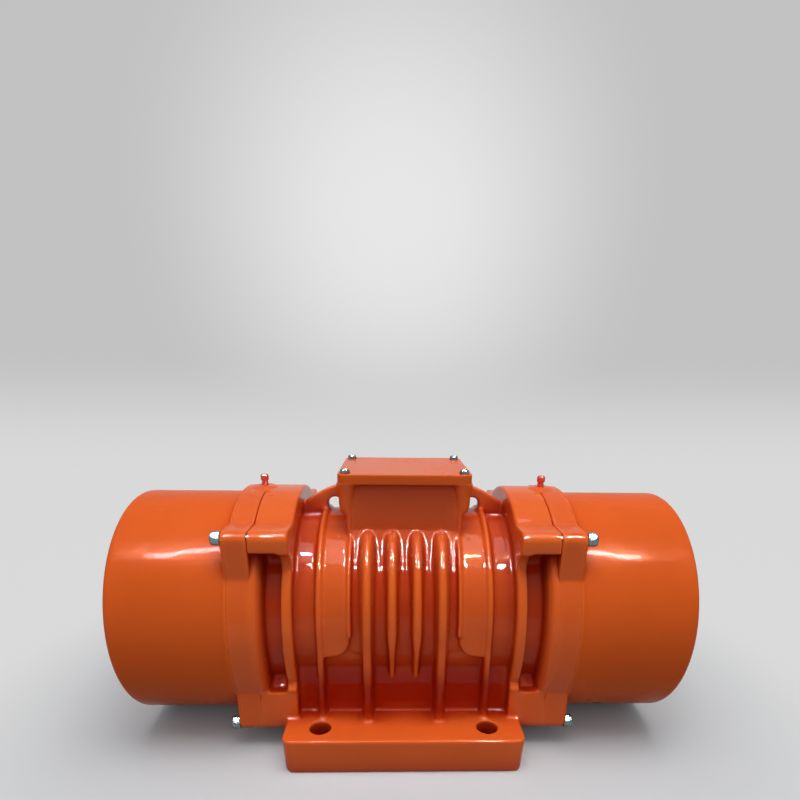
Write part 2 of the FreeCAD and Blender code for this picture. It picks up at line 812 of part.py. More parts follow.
def make_cover(side):
    inner = s.cover_radius - s.cover_wall
    body = new_body(f"weight_cover_{side}", side)
    sketch = new_sketch(body, "YZ_Plane", flange_face)
    add_flange_outline(sketch)
    pad(body, sketch, s.cover_flange)
    sketch = new_sketch(body, "XZ_Plane")
    corner = s.cover_corner
    add_outline(sketch, [
        (flange_face + s.cover_flange / 2, 0.0), (cover_end, 0.0), (cover_end, s.cover_radius - corner, corner),
        (cover_end - corner, s.cover_radius), (flange_face + s.cover_flange / 2, s.cover_radius),
    ])
    turn(body, sketch)
    sketch = new_sketch(body, "YZ_Plane", flange_face)
    add_circle(sketch, inner)
    pocket(body, sketch, cover_end - s.cover_wall - flange_face)
    sketch = new_sketch(body, "YZ_Plane", flange_face)
    for u, v in CORNERS:
        add_circle(sketch, s.corner_screw_radius + s.bolt_clearance, u, v)
    pocket(body, sketch, s.cover_flange)
    return body


def make_cover_seal(side):
    """The seal in the flange's groove, squeezed flat by the cover."""
    low = s.cover_radius - s.cover_wall + 2 * s.running
    high = low + s.seal_section - 2 * s.running
    return ring(f"cover_seal_{side}", side, flange_face - s.seal_section, flange_face, low, high)


def make_corner_screws(side):
    body = new_body(f"corner_screws_{side}", side)
    start = s.casing_end - s.corner_screw_grip + s.tap_clearance
    add_cap_screws(body, CORNERS, start, s.corner_screw_radius, cover_face - start,
                   s.corner_screw_radius * CAP_HEAD, s.cap_head_height, s.corner_screw_radius * CAP_KEY)
    return body


def make_flange_bolts(side):
    body = new_body(f"flange_bolts_{side}", side)
    start = s.casing_end - s.flange_bolt_grip + s.tap_clearance
    sketch = new_sketch(body, "YZ_Plane", start)
    for u, v in FLANGE_BOLTS:
        add_circle(sketch, s.flange_bolt_radius, u, v)
    pad(body, sketch, flange_face - start)
    sketch = new_sketch(body, "YZ_Plane", flange_face)
    for u, v in FLANGE_BOLTS:
        add_hexagon(sketch, s.flange_bolt_radius * HEX_FLATS, u, v)
    pad(body, sketch, s.hex_head_height)
    return body


def make_nipple(side):
    """Grease nipple: stub in the duct, collar on the dome and a narrower head."""
    body = new_body(f"grease_nipple_{side}", side)
    stub = s.nipple_height / 2
    pieces = [
        (dome_radius - stub, s.grease_duct_radius - s.seat, s.nipple_height),
        (dome_radius, s.nipple_radius, s.nipple_collar),
        (dome_radius, s.nipple_head_radius, s.nipple_height),
    ]
    for base, radius, height in pieces:
        sketch = new_sketch(body, "XY_Plane", base)
        add_circle(sketch, radius, s.nipple_x, 0.0)
        pad(body, sketch, height)
    return body


# --- Bearings ------------------------------------------------------------------------------

def make_bearing(side):
    """Cylindrical roller bearing with a channel outer ring and a window cage."""
    start = s.casing_end
    outer_race = s.inner_race + 2 * s.roller_radius
    pitch = s.inner_race + s.roller_radius
    lip = s.cage_rim
    outer = turned_body(f"bearing_outer_ring_{side}", side, [
        (start, outer_race - lip / 2), (start + lip, outer_race - lip / 2), (start + lip, outer_race + s.running),
        (bearing_end - lip, outer_race + s.running), (bearing_end - lip, outer_race - lip / 2),
        (bearing_end, outer_race - lip / 2), (bearing_end, s.bearing_outside), (start, s.bearing_outside),
    ])
    inner = ring(f"bearing_inner_ring_{side}", side, start, bearing_end,
                 s.bearing_bore + s.seat, s.inner_race - s.running)
    roller_length = s.bearing_width - 2 * lip - 2 * s.axial_play
    roller_start = start + lip + s.axial_play
    rollers = new_body(f"bearing_rollers_{side}", side)
    sketch = new_sketch(rollers, "YZ_Plane", roller_start)
    for u, v in ring_spots(ROLLERS, pitch):
        add_circle(sketch, s.roller_radius, u, v)
    pad(rollers, sketch, roller_length)
    cage_low = pitch - s.cage_thickness / 2
    cage_high = pitch + s.cage_thickness / 2
    cage = ring(f"bearing_cage_{side}", side, start + s.axial_play, bearing_end - s.axial_play,
                cage_low, cage_high)
    sketch = new_sketch(cage, "YZ_Plane", roller_start)
    for u, v in ring_spots(ROLLERS, pitch):
        add_circle(sketch, s.roller_radius + s.running, u, v)
    pocket(cage, sketch, roller_length)
    return outer, inner, rollers, cage


def make_grease_cap(side):
    """Outer bearing cap: spigot against the outer ring, flange on the hub, seal seat."""
    spigot = s.bearing_outside - s.running
    throat = s.spacer_outside + s.throat_gap
    seal_seat = s.seal_outside + s.seat
    web = hub_face + s.cap_web
    body = turned_body(f"bearing_cap_{side}", side, [
        (bearing_end, throat), (web, throat), (web, seal_seat), (cap_face, seal_seat),
        (cap_face, s.hub_radius), (hub_face, s.hub_radius), (hub_face, spigot), (bearing_end, spigot),
    ])
    sketch = new_sketch(body, "YZ_Plane", hub_face)
    for u, v in CAP_SCREWS:
        add_circle(sketch, s.cap_screw_radius + s.bolt_clearance, u, v)
    pocket(body, sketch, s.cap_flange)
    screws = new_body(f"cap_screws_{side}", side)
    start = hub_face - s.cap_screw_grip + s.tap_clearance
    add_cap_screws(screws, CAP_SCREWS, start, s.cap_screw_radius, cap_face - start,
                   s.cap_screw_radius * CAP_HEAD, s.cap_screw_head, s.cap_screw_radius * CAP_KEY)
    seal = ring(f"shaft_seal_{side}", side, web, cap_face, s.spacer_outside + s.running, s.seal_outside)
    spacer = ring(f"spacer_ring_{side}", side, bearing_end, spacer_end,
                  s.bearing_bore + s.seat, s.spacer_outside)
    return body, screws, seal, spacer


# --- Shaft, rotor and stator ---------------------------------------------------------------

def make_shaft():
    end = shaft_end
    chamfer = s.shaft_chamfer
    groove = circlip_start + s.circlip_width
    groove_radius = s.shaft_end_radius - s.circlip_depth
    right = [
        (s.casing_end, s.shaft_core_radius), (s.casing_end, s.bearing_bore), (spacer_end, s.bearing_bore),
        (spacer_end, s.shaft_end_radius), (circlip_start, s.shaft_end_radius),
        (circlip_start, groove_radius), (groove, groove_radius), (groove, s.shaft_end_radius),
        (end - chamfer, s.shaft_end_radius), (end, s.shaft_end_radius - chamfer), (end, 0.0),
    ]
    left = [(-x, radius) for x, radius in reversed(right)]
    body = turned_body("shaft", None, left + right)
    key_start = spacer_end + s.key_setback
    for start in (key_start, -key_start - s.key_length):
        sketch = new_sketch(body, "YZ_Plane", start)
        floor = s.shaft_end_radius + s.key_proud - s.key_height
        add_rectangle(sketch, -s.key_width / 2, floor, s.key_width / 2, s.shaft_end_radius + s.overcut)
        pocket(body, sketch, s.key_length)
    return body


def add_radial_slot(sketch, low, high, width):
    """A straight-sided slot on the sketch's vertical axis."""
    add_rectangle(sketch, -width / 2, low, width / 2, high)


def make_stator():
    half = s.core_length / 2
    core = ring("stator_core", None, -half, half, s.stator_inside, s.bore_radius - s.seat)
    slot_low = s.stator_inside + s.slot_mouth
    slot_high = slot_low + s.slot_depth
    sketch = new_sketch(core, "YZ_Plane", -half)
    add_radial_slot(sketch, slot_low, slot_high, s.slot_width)
    repeat_round(core, pocket(core, sketch, s.core_length), STATOR_SLOTS)
    outer_half = half + s.winding_overhang
    winding = new_body("stator_winding")
    sketch = new_sketch(winding, "XZ_Plane")
    low = s.winding_inside
    high = s.winding_outside
    corner = s.winding_overhang / 4
    for side in (-1, 1):
        add_outline(sketch, [
            (side * half, low), (side * (outer_half - corner), low, side * corner),
            (side * outer_half, low + corner), (side * outer_half, high - corner, side * corner),
            (side * (outer_half - corner), high), (side * half, high),
        ])
    turn(winding, sketch)
    liner = s.slot_liner
    sketch = new_sketch(winding, "YZ_Plane", -half)
    add_radial_slot(sketch, slot_low + liner, slot_high - liner, s.slot_width - 2 * liner)
    repeat_round(winding, pad(winding, sketch, s.core_length), STATOR_SLOTS)
    return core, winding


def make_rotor():
    half = s.core_length / 2
    surface = s.stator_inside - s.air_gap
    core = ring("rotor_core", None, -half, half, s.shaft_core_radius + s.seat, surface)
    bar_low = s.rotor_bar_radius - s.rotor_bar_height / 2
    bar_high = s.rotor_bar_radius + s.rotor_bar_height / 2
    sketch = new_sketch(core, "YZ_Plane", -half)
    add_radial_slot(sketch, bar_low, bar_high, s.rotor_bar_width)
    repeat_round(core, pocket(core, sketch, s.core_length), ROTOR_BARS)
    cage = new_body("rotor_cage")
    sketch = new_sketch(cage, "XZ_Plane")
    for side in (-1, 1):
        low, high = sorted((side * half, side * (half + s.cage_ring_width)), key=number_of)
        add_rectangle(sketch, low, bar_low - s.cage_ring_inner, high, bar_high + s.cage_ring_outer)
    turn(cage, sketch)
    gap = s.seat
    sketch = new_sketch(cage, "YZ_Plane", -half)
    add_radial_slot(sketch, bar_low + gap, bar_high - gap, s.rotor_bar_width - 2 * gap)
    repeat_round(cage, pad(cage, sketch, s.core_length), ROTOR_BARS)
    return core, cage


# --- Eccentric weights ---------------------------------------------------------------------

def add_half_moon(sketch):
    """The heavy half of a weight, hanging below the shaft."""
    depth = -s.weight_shoulder
    reach = leg(s.weight_radius, s.weight_shoulder)
    add_outline(sketch, [(-reach, depth, s.weight_radius), (reach, depth)])


def make_fixed_weight(side):
    body = new_body(f"fixed_weight_{side}", side)
    for draw in (add_half_moon, lambda sketch: add_circle(sketch, s.weight_hub_radius)):
        sketch = new_sketch(body, "YZ_Plane", spacer_end)
        draw(sketch)
        pad(body, sketch, s.fixed_weight_width)
    sketch = new_sketch(body, "YZ_Plane", spacer_end)
    add_circle(sketch, s.shaft_end_radius + s.seat)
    pocket(body, sketch, s.fixed_weight_width)
    key_top = s.shaft_end_radius + s.key_proud
    sketch = new_sketch(body, "YZ_Plane", spacer_end)
    half = s.key_width / 2 + s.seat
    add_rectangle(sketch, -half, 0.0, half, key_top + s.seat)
    pocket(body, sketch, s.fixed_weight_width)
    key = new_body(f"weight_key_{side}", side)
    sketch = new_sketch(key, "YZ_Plane", spacer_end + s.key_setback + s.seat)
    add_rectangle(sketch, -s.key_width / 2, key_top - s.key_height, s.key_width / 2, key_top)
    pad(key, sketch, s.key_length - 2 * s.seat)
    return body, key


def make_free_weight(side):
    """The adjustable weight: split hub with two ears and a clamp bolt across them."""
    start = scale_face + s.axial_play
    width = s.free_weight_width
    body = new_body(f"adjustable_weight_{side}", side)

    def draw_ears(sketch):
        add_rectangle(sketch, -s.ear_half, 0.0, s.ear_half, s.ear_height)

    for draw in (add_half_moon, lambda sketch: add_circle(sketch, s.weight_hub_radius), draw_ears):
        sketch = new_sketch(body, "YZ_Plane", start)
        draw(sketch)
        pad(body, sketch, width)
    sketch = new_sketch(body, "YZ_Plane", start)
    add_circle(sketch, s.shaft_end_radius + s.running)
    pocket(body, sketch, width)
    sketch = new_sketch(body, "YZ_Plane", start)
    add_rectangle(sketch, -s.slit_width / 2, 0.0, s.slit_width / 2, s.ear_height + s.overcut)
    pocket(body, sketch, width)
    middle = start + width / 2
    sketch = new_sketch(body, "XZ_Plane", -s.ear_half)
    add_circle(sketch, s.clamp_radius + s.bolt_clearance, middle, s.clamp_height)
    pocket(body, sketch, 2 * s.ear_half)
    head = s.clamp_radius * HEX_HEAD
    nut = s.clamp_radius * HEX_NUT
    bolt = new_body(f"clamp_bolt_{side}", side)
    sketch = new_sketch(bolt, "XZ_Plane", -s.ear_half - head)
    add_hexagon(sketch, s.clamp_radius * HEX_FLATS, middle, s.clamp_height)
    pad(bolt, sketch, head)
    sketch = new_sketch(bolt, "XZ_Plane", -s.ear_half)
    add_circle(sketch, s.clamp_radius, middle, s.clamp_height)
    pad(bolt, sketch, 2 * s.ear_half + nut + s.thread_end)
    sketch = new_sketch(bolt, "XZ_Plane", s.ear_half)
    add_hexagon(sketch, s.clamp_radius * HEX_FLATS, middle, s.clamp_height)
    pad(bolt, sketch, nut)
    return body, bolt


def make_shaft_end(side):
    bore = s.shaft_end_radius + s.seat
    scale = ring(f"scale_disc_{side}", side, fixed_weight_end, scale_face, bore, s.scale_radius)
    washer = ring(f"thrust_washer_{side}", side, washer_start, circlip_start, bore, s.washer_radius)
    clip_low = s.shaft_end_radius - s.circlip_depth + s.seat
    clip_high = s.shaft_end_radius + 2 * s.circlip_depth
    circlip = ring(f"circlip_{side}", side, circlip_start, circlip_start + s.circlip_width,
                   clip_low, clip_high)
    sketch = new_sketch(circlip, "YZ_Plane", circlip_start)
    add_rectangle(sketch, -s.circlip_width, s.shaft_end_radius / 2, s.circlip_width, clip_high + s.overcut)
    pocket(circlip, sketch, s.circlip_width)
    return scale, washer, circlip


# --- Terminal box fittings -----------------------------------------------------------------

def make_lid():
    lid = new_body("terminal_box_lid")
    sketch = new_sketch(lid, "XY_Plane", lid_base)
    half_x = s.box_half_x + s.rim_over_x
    half_y = s.box_half_y + s.rim_over_y
    add_rounded(sketch, half_x, half_y, s.rim_corner)
    pad(lid, sketch, s.lid_thickness)
    sketch = new_sketch(lid, "XY_Plane", lid_base)
    for u, v in four_spots(s.lid_screw_x, s.lid_screw_y):
        add_circle(sketch, s.lid_screw_radius + s.bolt_clearance, u, v)
    pocket(lid, sketch, s.lid_thickness)
    head = s.lid_screw_radius * CAP_HEAD
    sketch = new_sketch(lid, "XY_Plane", lid_top - s.lid_counterbore)
    for u, v in four_spots(s.lid_screw_x, s.lid_screw_y):
        add_circle(sketch, head + s.bolt_clearance, u, v)
    pocket(lid, sketch, s.lid_counterbore)
    gasket = new_body("lid_gasket")
    sketch = new_sketch(gasket, "XY_Plane", s.box_top)
    add_rounded(sketch, half_x, half_y, s.rim_corner)
    add_rounded(sketch, s.box_half_x - s.box_wall, s.box_half_y - s.box_wall, s.rim_corner / 2)
    for u, v in four_spots(s.lid_screw_x, s.lid_screw_y):
        add_circle(sketch, s.lid_screw_radius + s.bolt_clearance, u, v)
    pad(gasket, sketch, s.gasket_thickness)
    screws = new_body("lid_screws")
    start = s.box_top - s.lid_screw_grip + s.tap_clearance
    add_cap_screws(screws, four_spots(s.lid_screw_x, s.lid_screw_y), start, s.lid_screw_radius,
                   lid_top - s.lid_counterbore - start, head, s.lid_screw_radius * 2,
                   s.lid_screw_radius * CAP_KEY, "XY_Plane")
    return lid, gasket, screws


def make_terminals():
    block = new_body("terminal_block")
    sketch = new_sketch(block, "XY_Plane", s.box_floor)
    add_rectangle(sketch, -s.terminal_length / 2, -s.terminal_width / 2,
                  s.terminal_length / 2, s.terminal_width / 2)
    pad(block, sketch, s.terminal_height)
    spots = [(step * s.stud_pitch_x, side * s.stud_pitch_y / 2) for step in (-1, 0, 1) for side in (-1, 1)]
    sketch = new_sketch(block, "XY_Plane", s.box_floor + s.terminal_height / 2)
    for u, v in spots:
        add_circle(sketch, s.stud_radius + s.seat, u, v)
    pocket(block, sketch, s.terminal_height / 2)
    studs = new_body("terminal_studs")
    sketch = new_sketch(studs, "XY_Plane", s.box_floor + s.terminal_height / 2)
    for u, v in spots:
        add_circle(sketch, s.stud_radius, u, v)
    pad(studs, sketch, s.terminal_height / 2 + s.stud_height)
    sketch = new_sketch(studs, "XY_Plane", s.box_floor + s.terminal_height)
    for u, v in spots:
        add_hexagon(sketch, s.stud_radius * HEX_FLATS, u, v)
    pad(studs, sketch, s.stud_radius * HEX_NUT)
    earth = new_body("earth_screw")
    spot_x = (s.terminal_length / 2 + s.box_half_x - s.box_wall) / 2
    sketch = new_sketch(earth, "XY_Plane", s.box_floor)
    add_hexagon(sketch, s.stud_radius * HEX_FLATS, spot_x, 0.0)
    pad(earth, sketch, s.stud_radius * HEX_NUT)
    sketch = new_sketch(earth, "XY_Plane", s.box_floor)
    add_circle(sketch, s.stud_radius, spot_x, 0.0)
    pad(earth, sketch, s.stud_height)
    return block, studs, earth


def make_gland():
    """Cable gland in the rear wall: hexagon body, dome nut and the ring that grips a cable.
    The sketch plane's normal points to the front, so each length runs back towards it."""
    height = s.gland_height
    wall = s.box_half_y
    hex_end = wall + s.gland_hex_length
    body_end = hex_end + s.gland_body_length
    nut_end = hex_end + s.gland_nut_length
    body = new_body("cable_gland_body")
    pieces = [
        (hex_end, lambda sketch: add_hexagon(sketch, s.gland_flats, 0.0, height), s.gland_hex_length),
        (body_end, lambda sketch: add_circle(sketch, s.gland_thread_radius, 0.0, height),
         body_end - wall + s.box_wall),
    ]
    for far, draw, length in pieces:
        sketch = new_sketch(body, "XZ_Plane", -far)
        draw(sketch)
        pad(body, sketch, length)
    sketch = new_sketch(body, "XZ_Plane", -body_end)
    add_circle(sketch, s.gland_bore, 0.0, height)
    pocket(body, sketch, body_end - wall + s.box_wall)
    nut = new_body("cable_gland_nut")
    sketch = new_sketch(nut, "XZ_Plane", -nut_end)
    add_circle(sketch, s.gland_flats / 2, 0.0, height)
    pad(nut, sketch, s.gland_nut_length)
    sketch = new_sketch(nut, "XZ_Plane", -body_end - s.gland_thread_radius / 2)
    add_circle(sketch, s.gland_thread_radius + s.seat, 0.0, height)
    pocket(nut, sketch, s.gland_thread_radius / 2 + s.gland_body_length)
    sketch = new_sketch(nut, "XZ_Plane", -nut_end)
    add_circle(sketch, s.gland_bore, 0.0, height)
    pocket(nut, sketch, s.gland_nut_length)
    grip = new_body("cable_gland_seal")
    sketch = new_sketch(grip, "XZ_Plane", -body_end - s.gland_thread_radius / 2)
    add_circle(sketch, s.gland_thread_radius - s.seat, 0.0, height)
    add_circle(sketch, s.gland_bore, 0.0, height)
    pad(grip, sketch, s.gland_thread_radius / 2)
    return body, nut, grip


# --- Build, check and write ----------------------------------------------------------------

def build():
    casing = make_casing()
    parts = [casing, make_terminal_box(), make_shaft()]
    parts += make_stator() + make_rotor()
    for side in SIDES:
        parts += [make_lifting_web(side, casing)]
        parts += [make_bearing_flange(side), make_cover(side), make_cover_seal(side)]
        parts += [make_corner_screws(side), make_flange_bolts(side), make_nipple(side)]
        parts += make_bearing(side)
        parts += make_grease_cap(side)
        parts += make_fixed_weight(side)
        parts += make_free_weight(side)
        parts += make_shaft_end(side)
    parts += make_lid() + make_terminals() + make_gland()
    return parts


def check(parts):
    for item in doc.Objects:
        if "Invalid" in item.State or "Error" in item.State:
            raise RuntimeError(f"{item.Label} of {item.getParentGeoFeatureGroup()} failed: {item.State}")
    for part in parts:
        if part.Shape.isNull() or not part.Shape.isValid() or not part.Shape.Solids:
            raise RuntimeError(f"{part.Label} has no valid solid")


def write(parts):
    os.makedirs("parts", exist_ok=True)
    for part in parts:
        part.Shape.exportStep(f"parts/{part.Label}.step")


all_parts = build()
doc.recompute()
check(all_parts)
write(all_parts)
print(f"{len(all_parts)} sub-parts written")
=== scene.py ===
"""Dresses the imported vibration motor: thick glossy enamel over rounded castings, bright screws,
lubrication nipples, a cable gland, finishes for the parts inside, and a pale studio round it."""
import json
import math
import random

import bmesh
import bpy
import numpy as np
from mathutils import Matrix, Vector


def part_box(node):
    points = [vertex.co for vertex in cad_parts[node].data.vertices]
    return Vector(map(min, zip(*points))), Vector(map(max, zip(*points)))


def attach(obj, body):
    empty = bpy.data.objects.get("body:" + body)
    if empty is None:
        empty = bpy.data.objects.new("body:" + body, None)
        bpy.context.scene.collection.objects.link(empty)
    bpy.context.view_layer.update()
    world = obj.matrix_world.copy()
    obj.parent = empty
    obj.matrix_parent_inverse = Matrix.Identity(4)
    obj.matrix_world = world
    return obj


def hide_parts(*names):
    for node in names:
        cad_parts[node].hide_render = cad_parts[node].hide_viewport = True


bl_info = {
    "name": "Vibration Motor Looks",
    "version": (1, 0, 0),
    "blender": (4, 5, 0),
    "location": "View3D > Sidebar > Motor",
    "description": "Enamel, fastenings, fittings and studio for a vibration motor",
    "category": "Object",
}

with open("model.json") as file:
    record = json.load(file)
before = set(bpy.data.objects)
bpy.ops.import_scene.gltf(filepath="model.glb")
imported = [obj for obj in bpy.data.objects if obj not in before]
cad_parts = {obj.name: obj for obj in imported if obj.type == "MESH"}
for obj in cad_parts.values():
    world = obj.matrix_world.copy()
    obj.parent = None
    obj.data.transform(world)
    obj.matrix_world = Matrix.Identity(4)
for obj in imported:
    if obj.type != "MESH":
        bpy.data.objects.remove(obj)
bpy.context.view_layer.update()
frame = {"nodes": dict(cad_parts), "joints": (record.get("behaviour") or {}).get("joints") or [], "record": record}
NODES = frame["nodes"]
SHAFT_HEIGHT = frame["joints"][0]["pos_m"][2]
SIDES = {"left": -1, "right": 1}
UP = Vector((0.0, 0.0, 1.0))
# How near a point lies to a face or an edge to belong to it.
TOUCH = 2e-5
EDGE = 1e-5


# --- Settings ------------------------------------------------------------------------------

class EnamelSettings(bpy.types.PropertyGroup):
    colour: bpy.props.FloatVectorProperty(
        name="Enamel", description="Colour of the thick orange enamel", subtype="COLOR", size=3,
        min=0.0, max=1.0, default=(0.78, 0.118, 0.018))
    # Painted shade: the darker colour the enamel takes in hollows, sheltered corners and low on the barrel, where
    # shade falls.
    painted_shade: bpy.props.FloatVectorProperty(
        name="Painted shade", description="Deeper colour where the enamel lies thick in hollows",
        subtype="COLOR", size=3, min=0.0, max=1.0, default=(0.37, 0.014, 0.002))
    # Painted light: the lighter colour the enamel takes on crests and edges, where light falls most.
    thin: bpy.props.FloatVectorProperty(
        name="Painted crest light", description="Lighter colour on the crests", subtype="COLOR", size=3,
        min=0.0, max=1.0, default=(0.90, 0.155, 0.022))
    peel_size: bpy.props.FloatProperty(
        name="Peel size", description="Width of the ripples in the sprayed surface",
        subtype="DISTANCE", unit="LENGTH", default=0.0045, min=0.0005)
    peel_depth: bpy.props.FloatProperty(
        name="Peel depth", description="Height of the ripples", subtype="DISTANCE", unit="LENGTH",
        default=0.00006, min=0.0, precision=5)
    # How far the painted shade reaches out of a corner, as the ambient occlusion distance.
    shade_reach: bpy.props.FloatProperty(
        name="Shade reach", description="How far out of a hollow the pooled enamel reaches",
        subtype="DISTANCE", unit="LENGTH", default=0.028, min=0.001, precision=4)
    run_depth: bpy.props.FloatProperty(
        name="Run depth", description="Height of the runs on upright faces", subtype="DISTANCE",
        unit="LENGTH", default=0.00045, min=0.0, precision=5)


class CastingSettings(bpy.types.PropertyGroup):
    cell: bpy.props.FloatProperty(
        name="Cell", description="Cell size of the casting's new skin", subtype="DISTANCE",
        unit="LENGTH", default=0.0014, min=0.0005, precision=4)
    rounding: bpy.props.IntProperty(
        name="Rounding", description="Smoothing passes that round the casting's edges", default=6,
        min=0, max=40)
    plate_rounding: bpy.props.IntProperty(
        name="Plate rounding", description="Smoothing passes on flanges and covers", default=3,
        min=0, max=40)
    seat_overlap: bpy.props.FloatProperty(
        name="Seat overlap", description="How far webs and terminal box reach into the casing",
        subtype="DISTANCE", unit="LENGTH", default=0.0015, min=0.0, precision=4)
    joint_fill: bpy.props.FloatProperty(
        name="Joint fill", description="How far enamel bridges the joints between the castings",
        subtype="DISTANCE", unit="LENGTH", default=0.0026, min=0.0, precision=4)
    triangles: bpy.props.IntProperty(
        name="Triangles", description="Most triangles on one piece", default=185000, min=1000)


class ScrewSettings(bpy.types.PropertyGroup):
    corner_head: bpy.props.FloatProperty(
        name="Corner screw head", description="Head radius of the flange corner screws",
        subtype="DISTANCE", unit="LENGTH", default=0.0062, min=0.001, precision=4)
    corner_height: bpy.props.FloatProperty(
        name="Corner head height", description="Head height of the flange corner screws",
        subtype="DISTANCE", unit="LENGTH", default=0.008, min=0.001, precision=4)
    lid_head: bpy.props.FloatProperty(
        name="Lid screw head", description="Head radius of the lid screws", subtype="DISTANCE",
        unit="LENGTH", default=0.00425, min=0.001, precision=4)
    lid_height: bpy.props.FloatProperty(
        name="Lid head height", description="Head height of the lid screws", subtype="DISTANCE",
        unit="LENGTH", default=0.005, min=0.001, precision=4)
    knurls: bpy.props.IntProperty(
        name="Knurls", description="Ridges round each head", default=32, min=6, max=80)
    colour: bpy.props.FloatVectorProperty(
        name="Zinc", description="Colour of the bright zinc plating", subtype="COLOR", size=3,
        min=0.0, max=1.0, default=(0.20, 0.285, 0.31))


class StudioSettings(bpy.types.PropertyGroup):
    floor: bpy.props.FloatVectorProperty(
        name="Floor", description="Colour of the floor", subtype="COLOR", size=3,
        min=0.0, max=1.0, default=(0.62, 0.64, 0.66))
    wall: bpy.props.FloatVectorProperty(
        name="Wall", description="Colour of the backdrop beside its bright middle",
        subtype="COLOR", size=3, min=0.0, max=1.0, default=(0.535, 0.535, 0.535))
    bounce: bpy.props.FloatProperty(
        name="Bounce", description="Share of the floor's colour that lights the motor from below",
        subtype="FACTOR", default=0.14, min=0.0, max=1.0)
    key_power: bpy.props.FloatProperty(
        name="Key light", description="Power of the soft light above the front",
        subtype="POWER", unit="POWER", default=18.0, min=0.0)
    fill_power: bpy.props.FloatProperty(
        name="Front fill", description="Power of the wide soft lamp in front",
        subtype="POWER", unit="POWER", default=5.5, min=0.0)
    spark_power: bpy.props.FloatProperty(
        name="Small lamps", description="Power of each small lamp above the motor",
        subtype="POWER", unit="POWER", default=40.0, min=0.0)
    zenith: bpy.props.FloatProperty(
        name="Ceiling light", description="Strength of the even light from above", default=0.66,
        min=0.0)
    horizon: bpy.props.FloatProperty(
        name="Room light", description="Strength of the even light from all round", default=0.22,
        min=0.0)
    lens: bpy.props.FloatProperty(
        name="Lens", description="Focal length of the camera in millimetres",
        subtype="DISTANCE_CAMERA", unit="CAMERA", default=23.86, min=1.0)


SETTINGS = {
    "motor_enamel": EnamelSettings,
    "motor_casting": CastingSettings,
    "motor_screws": ScrewSettings,
    "motor_studio": StudioSettings,
}


# --- Mesh helpers --------------------------------------------------------------------------

def new_piece(name, mesh, material, body="housing"):
    """An object at the origin that rides on a body and carries one material."""
    piece = bpy.data.objects.new(name, mesh)
    bpy.context.scene.collection.objects.link(piece)
    mesh.materials.clear()
    mesh.materials.append(material)
    for polygon in mesh.polygons:
        polygon.use_smooth = True
    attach(piece, body)
    return piece


def merged_copy(node, stretch=None, cuts=()):
    """A bmesh of a CAD node with its loose triangles joined, cut at places along the shaft,
    each point moved by stretch."""
    shape = bmesh.new()
    shape.from_mesh(NODES[node].data)
    bmesh.ops.remove_doubles(shape, verts=shape.verts, dist=1e-6)
    for place in cuts:
        bmesh.ops.bisect_plane(shape, geom=[*shape.verts, *shape.edges, *shape.faces],
                               plane_co=(place, 0.0, 0.0), plane_no=(1.0, 0.0, 0.0))
    if stretch:
        for point in shape.verts:
            point.co = stretch(point.co)
    return shape


def joined(name, shapes):
    """One mesh from several bmeshes, which are freed."""
    whole = bmesh.new()
    for shape in shapes:
        part = bpy.data.meshes.new(name)
        shape.to_mesh(part)
        shape.free()
        whole.from_mesh(part)
        bpy.data.meshes.remove(part)
    mesh = bpy.data.meshes.new(name)
    whole.to_mesh(mesh)
    whole.free()
    return mesh


def evaluated_mesh(thing):
    """The mesh that an object's modifiers give. The object itself is removed."""
    graph = bpy.context.evaluated_depsgraph_get()
    mesh = bpy.data.meshes.new_from_object(thing.evaluated_get(graph), depsgraph=graph)
    bpy.data.objects.remove(thing)
    return mesh


def triangle_count(mesh):
    """How many triangles a mesh has once its faces are split."""
    return sum(len(polygon.vertices) - 2 for polygon in mesh.polygons)


def rounded_skin(name, mesh, rounding, cell, most):
    """The same form under a new skin whose edges and corners are rounded, as under thick enamel."""
    source = bpy.data.objects.new(name, mesh)
    bpy.context.scene.collection.objects.link(source)
    remesh = source.modifiers.new("Skin", "REMESH")
    remesh.mode = "VOXEL"
    remesh.voxel_size = cell
    remesh.use_smooth_shade = True
    smooth = source.modifiers.new("Rounding", "SMOOTH")
    smooth.factor = 0.5
    smooth.iterations = rounding
    skin = evaluated_mesh(source)
    count = triangle_count(skin)
    if count > most:
        source = bpy.data.objects.new(name, skin)
        bpy.context.scene.collection.objects.link(source)
        thin = source.modifiers.new("Thin", "DECIMATE")
        thin.ratio = most / count
        skin = evaluated_mesh(source)
    skin.name = name
    mark_hollows(skin)
    return skin


def mark_hollows(mesh):
    """Stores on each point how hollow the surface is there: 0 on a crest, 1 in a groove."""
    passes = 24
    spread_share = 0.6
    contrast = 4.0
    count = len(mesh.vertices)
    places, normals = np.empty((2, count * 3))
    mesh.vertices.foreach_get("co", places)
    mesh.vertices.foreach_get("normal", normals)
    places = places.reshape(-1, 3)
    normals = normals.reshape(-1, 3)
    ends = np.empty(len(mesh.edges) * 2, dtype=int)
    mesh.edges.foreach_get("vertices", ends)
    first, last = ends.reshape(-1, 2).T
    span = places[last] - places[first]
    length = np.maximum(np.linalg.norm(span, axis=1), 1e-9)
    bend = np.bincount(first, (span * normals[first]).sum(1) / length, count)
    bend -= np.bincount(last, (span * normals[last]).sum(1) / length, count)
    degree = np.bincount(first, minlength=count) + np.bincount(last, minlength=count)
    degree = np.maximum(degree, 1)
    hollow = bend / degree
    for _ in range(passes):
        spread = np.bincount(first, hollow[last], count) + np.bincount(last, hollow[first], count)
        hollow = (1.0 - spread_share) * hollow + spread_share * spread / degree
    hollow = np.clip(0.5 + hollow * contrast, 0.0, 1.0)
    attribute = mesh.attributes.new("hollow", "FLOAT", "POINT")
    attribute.data.foreach_set("value", hollow.astype(np.float32))


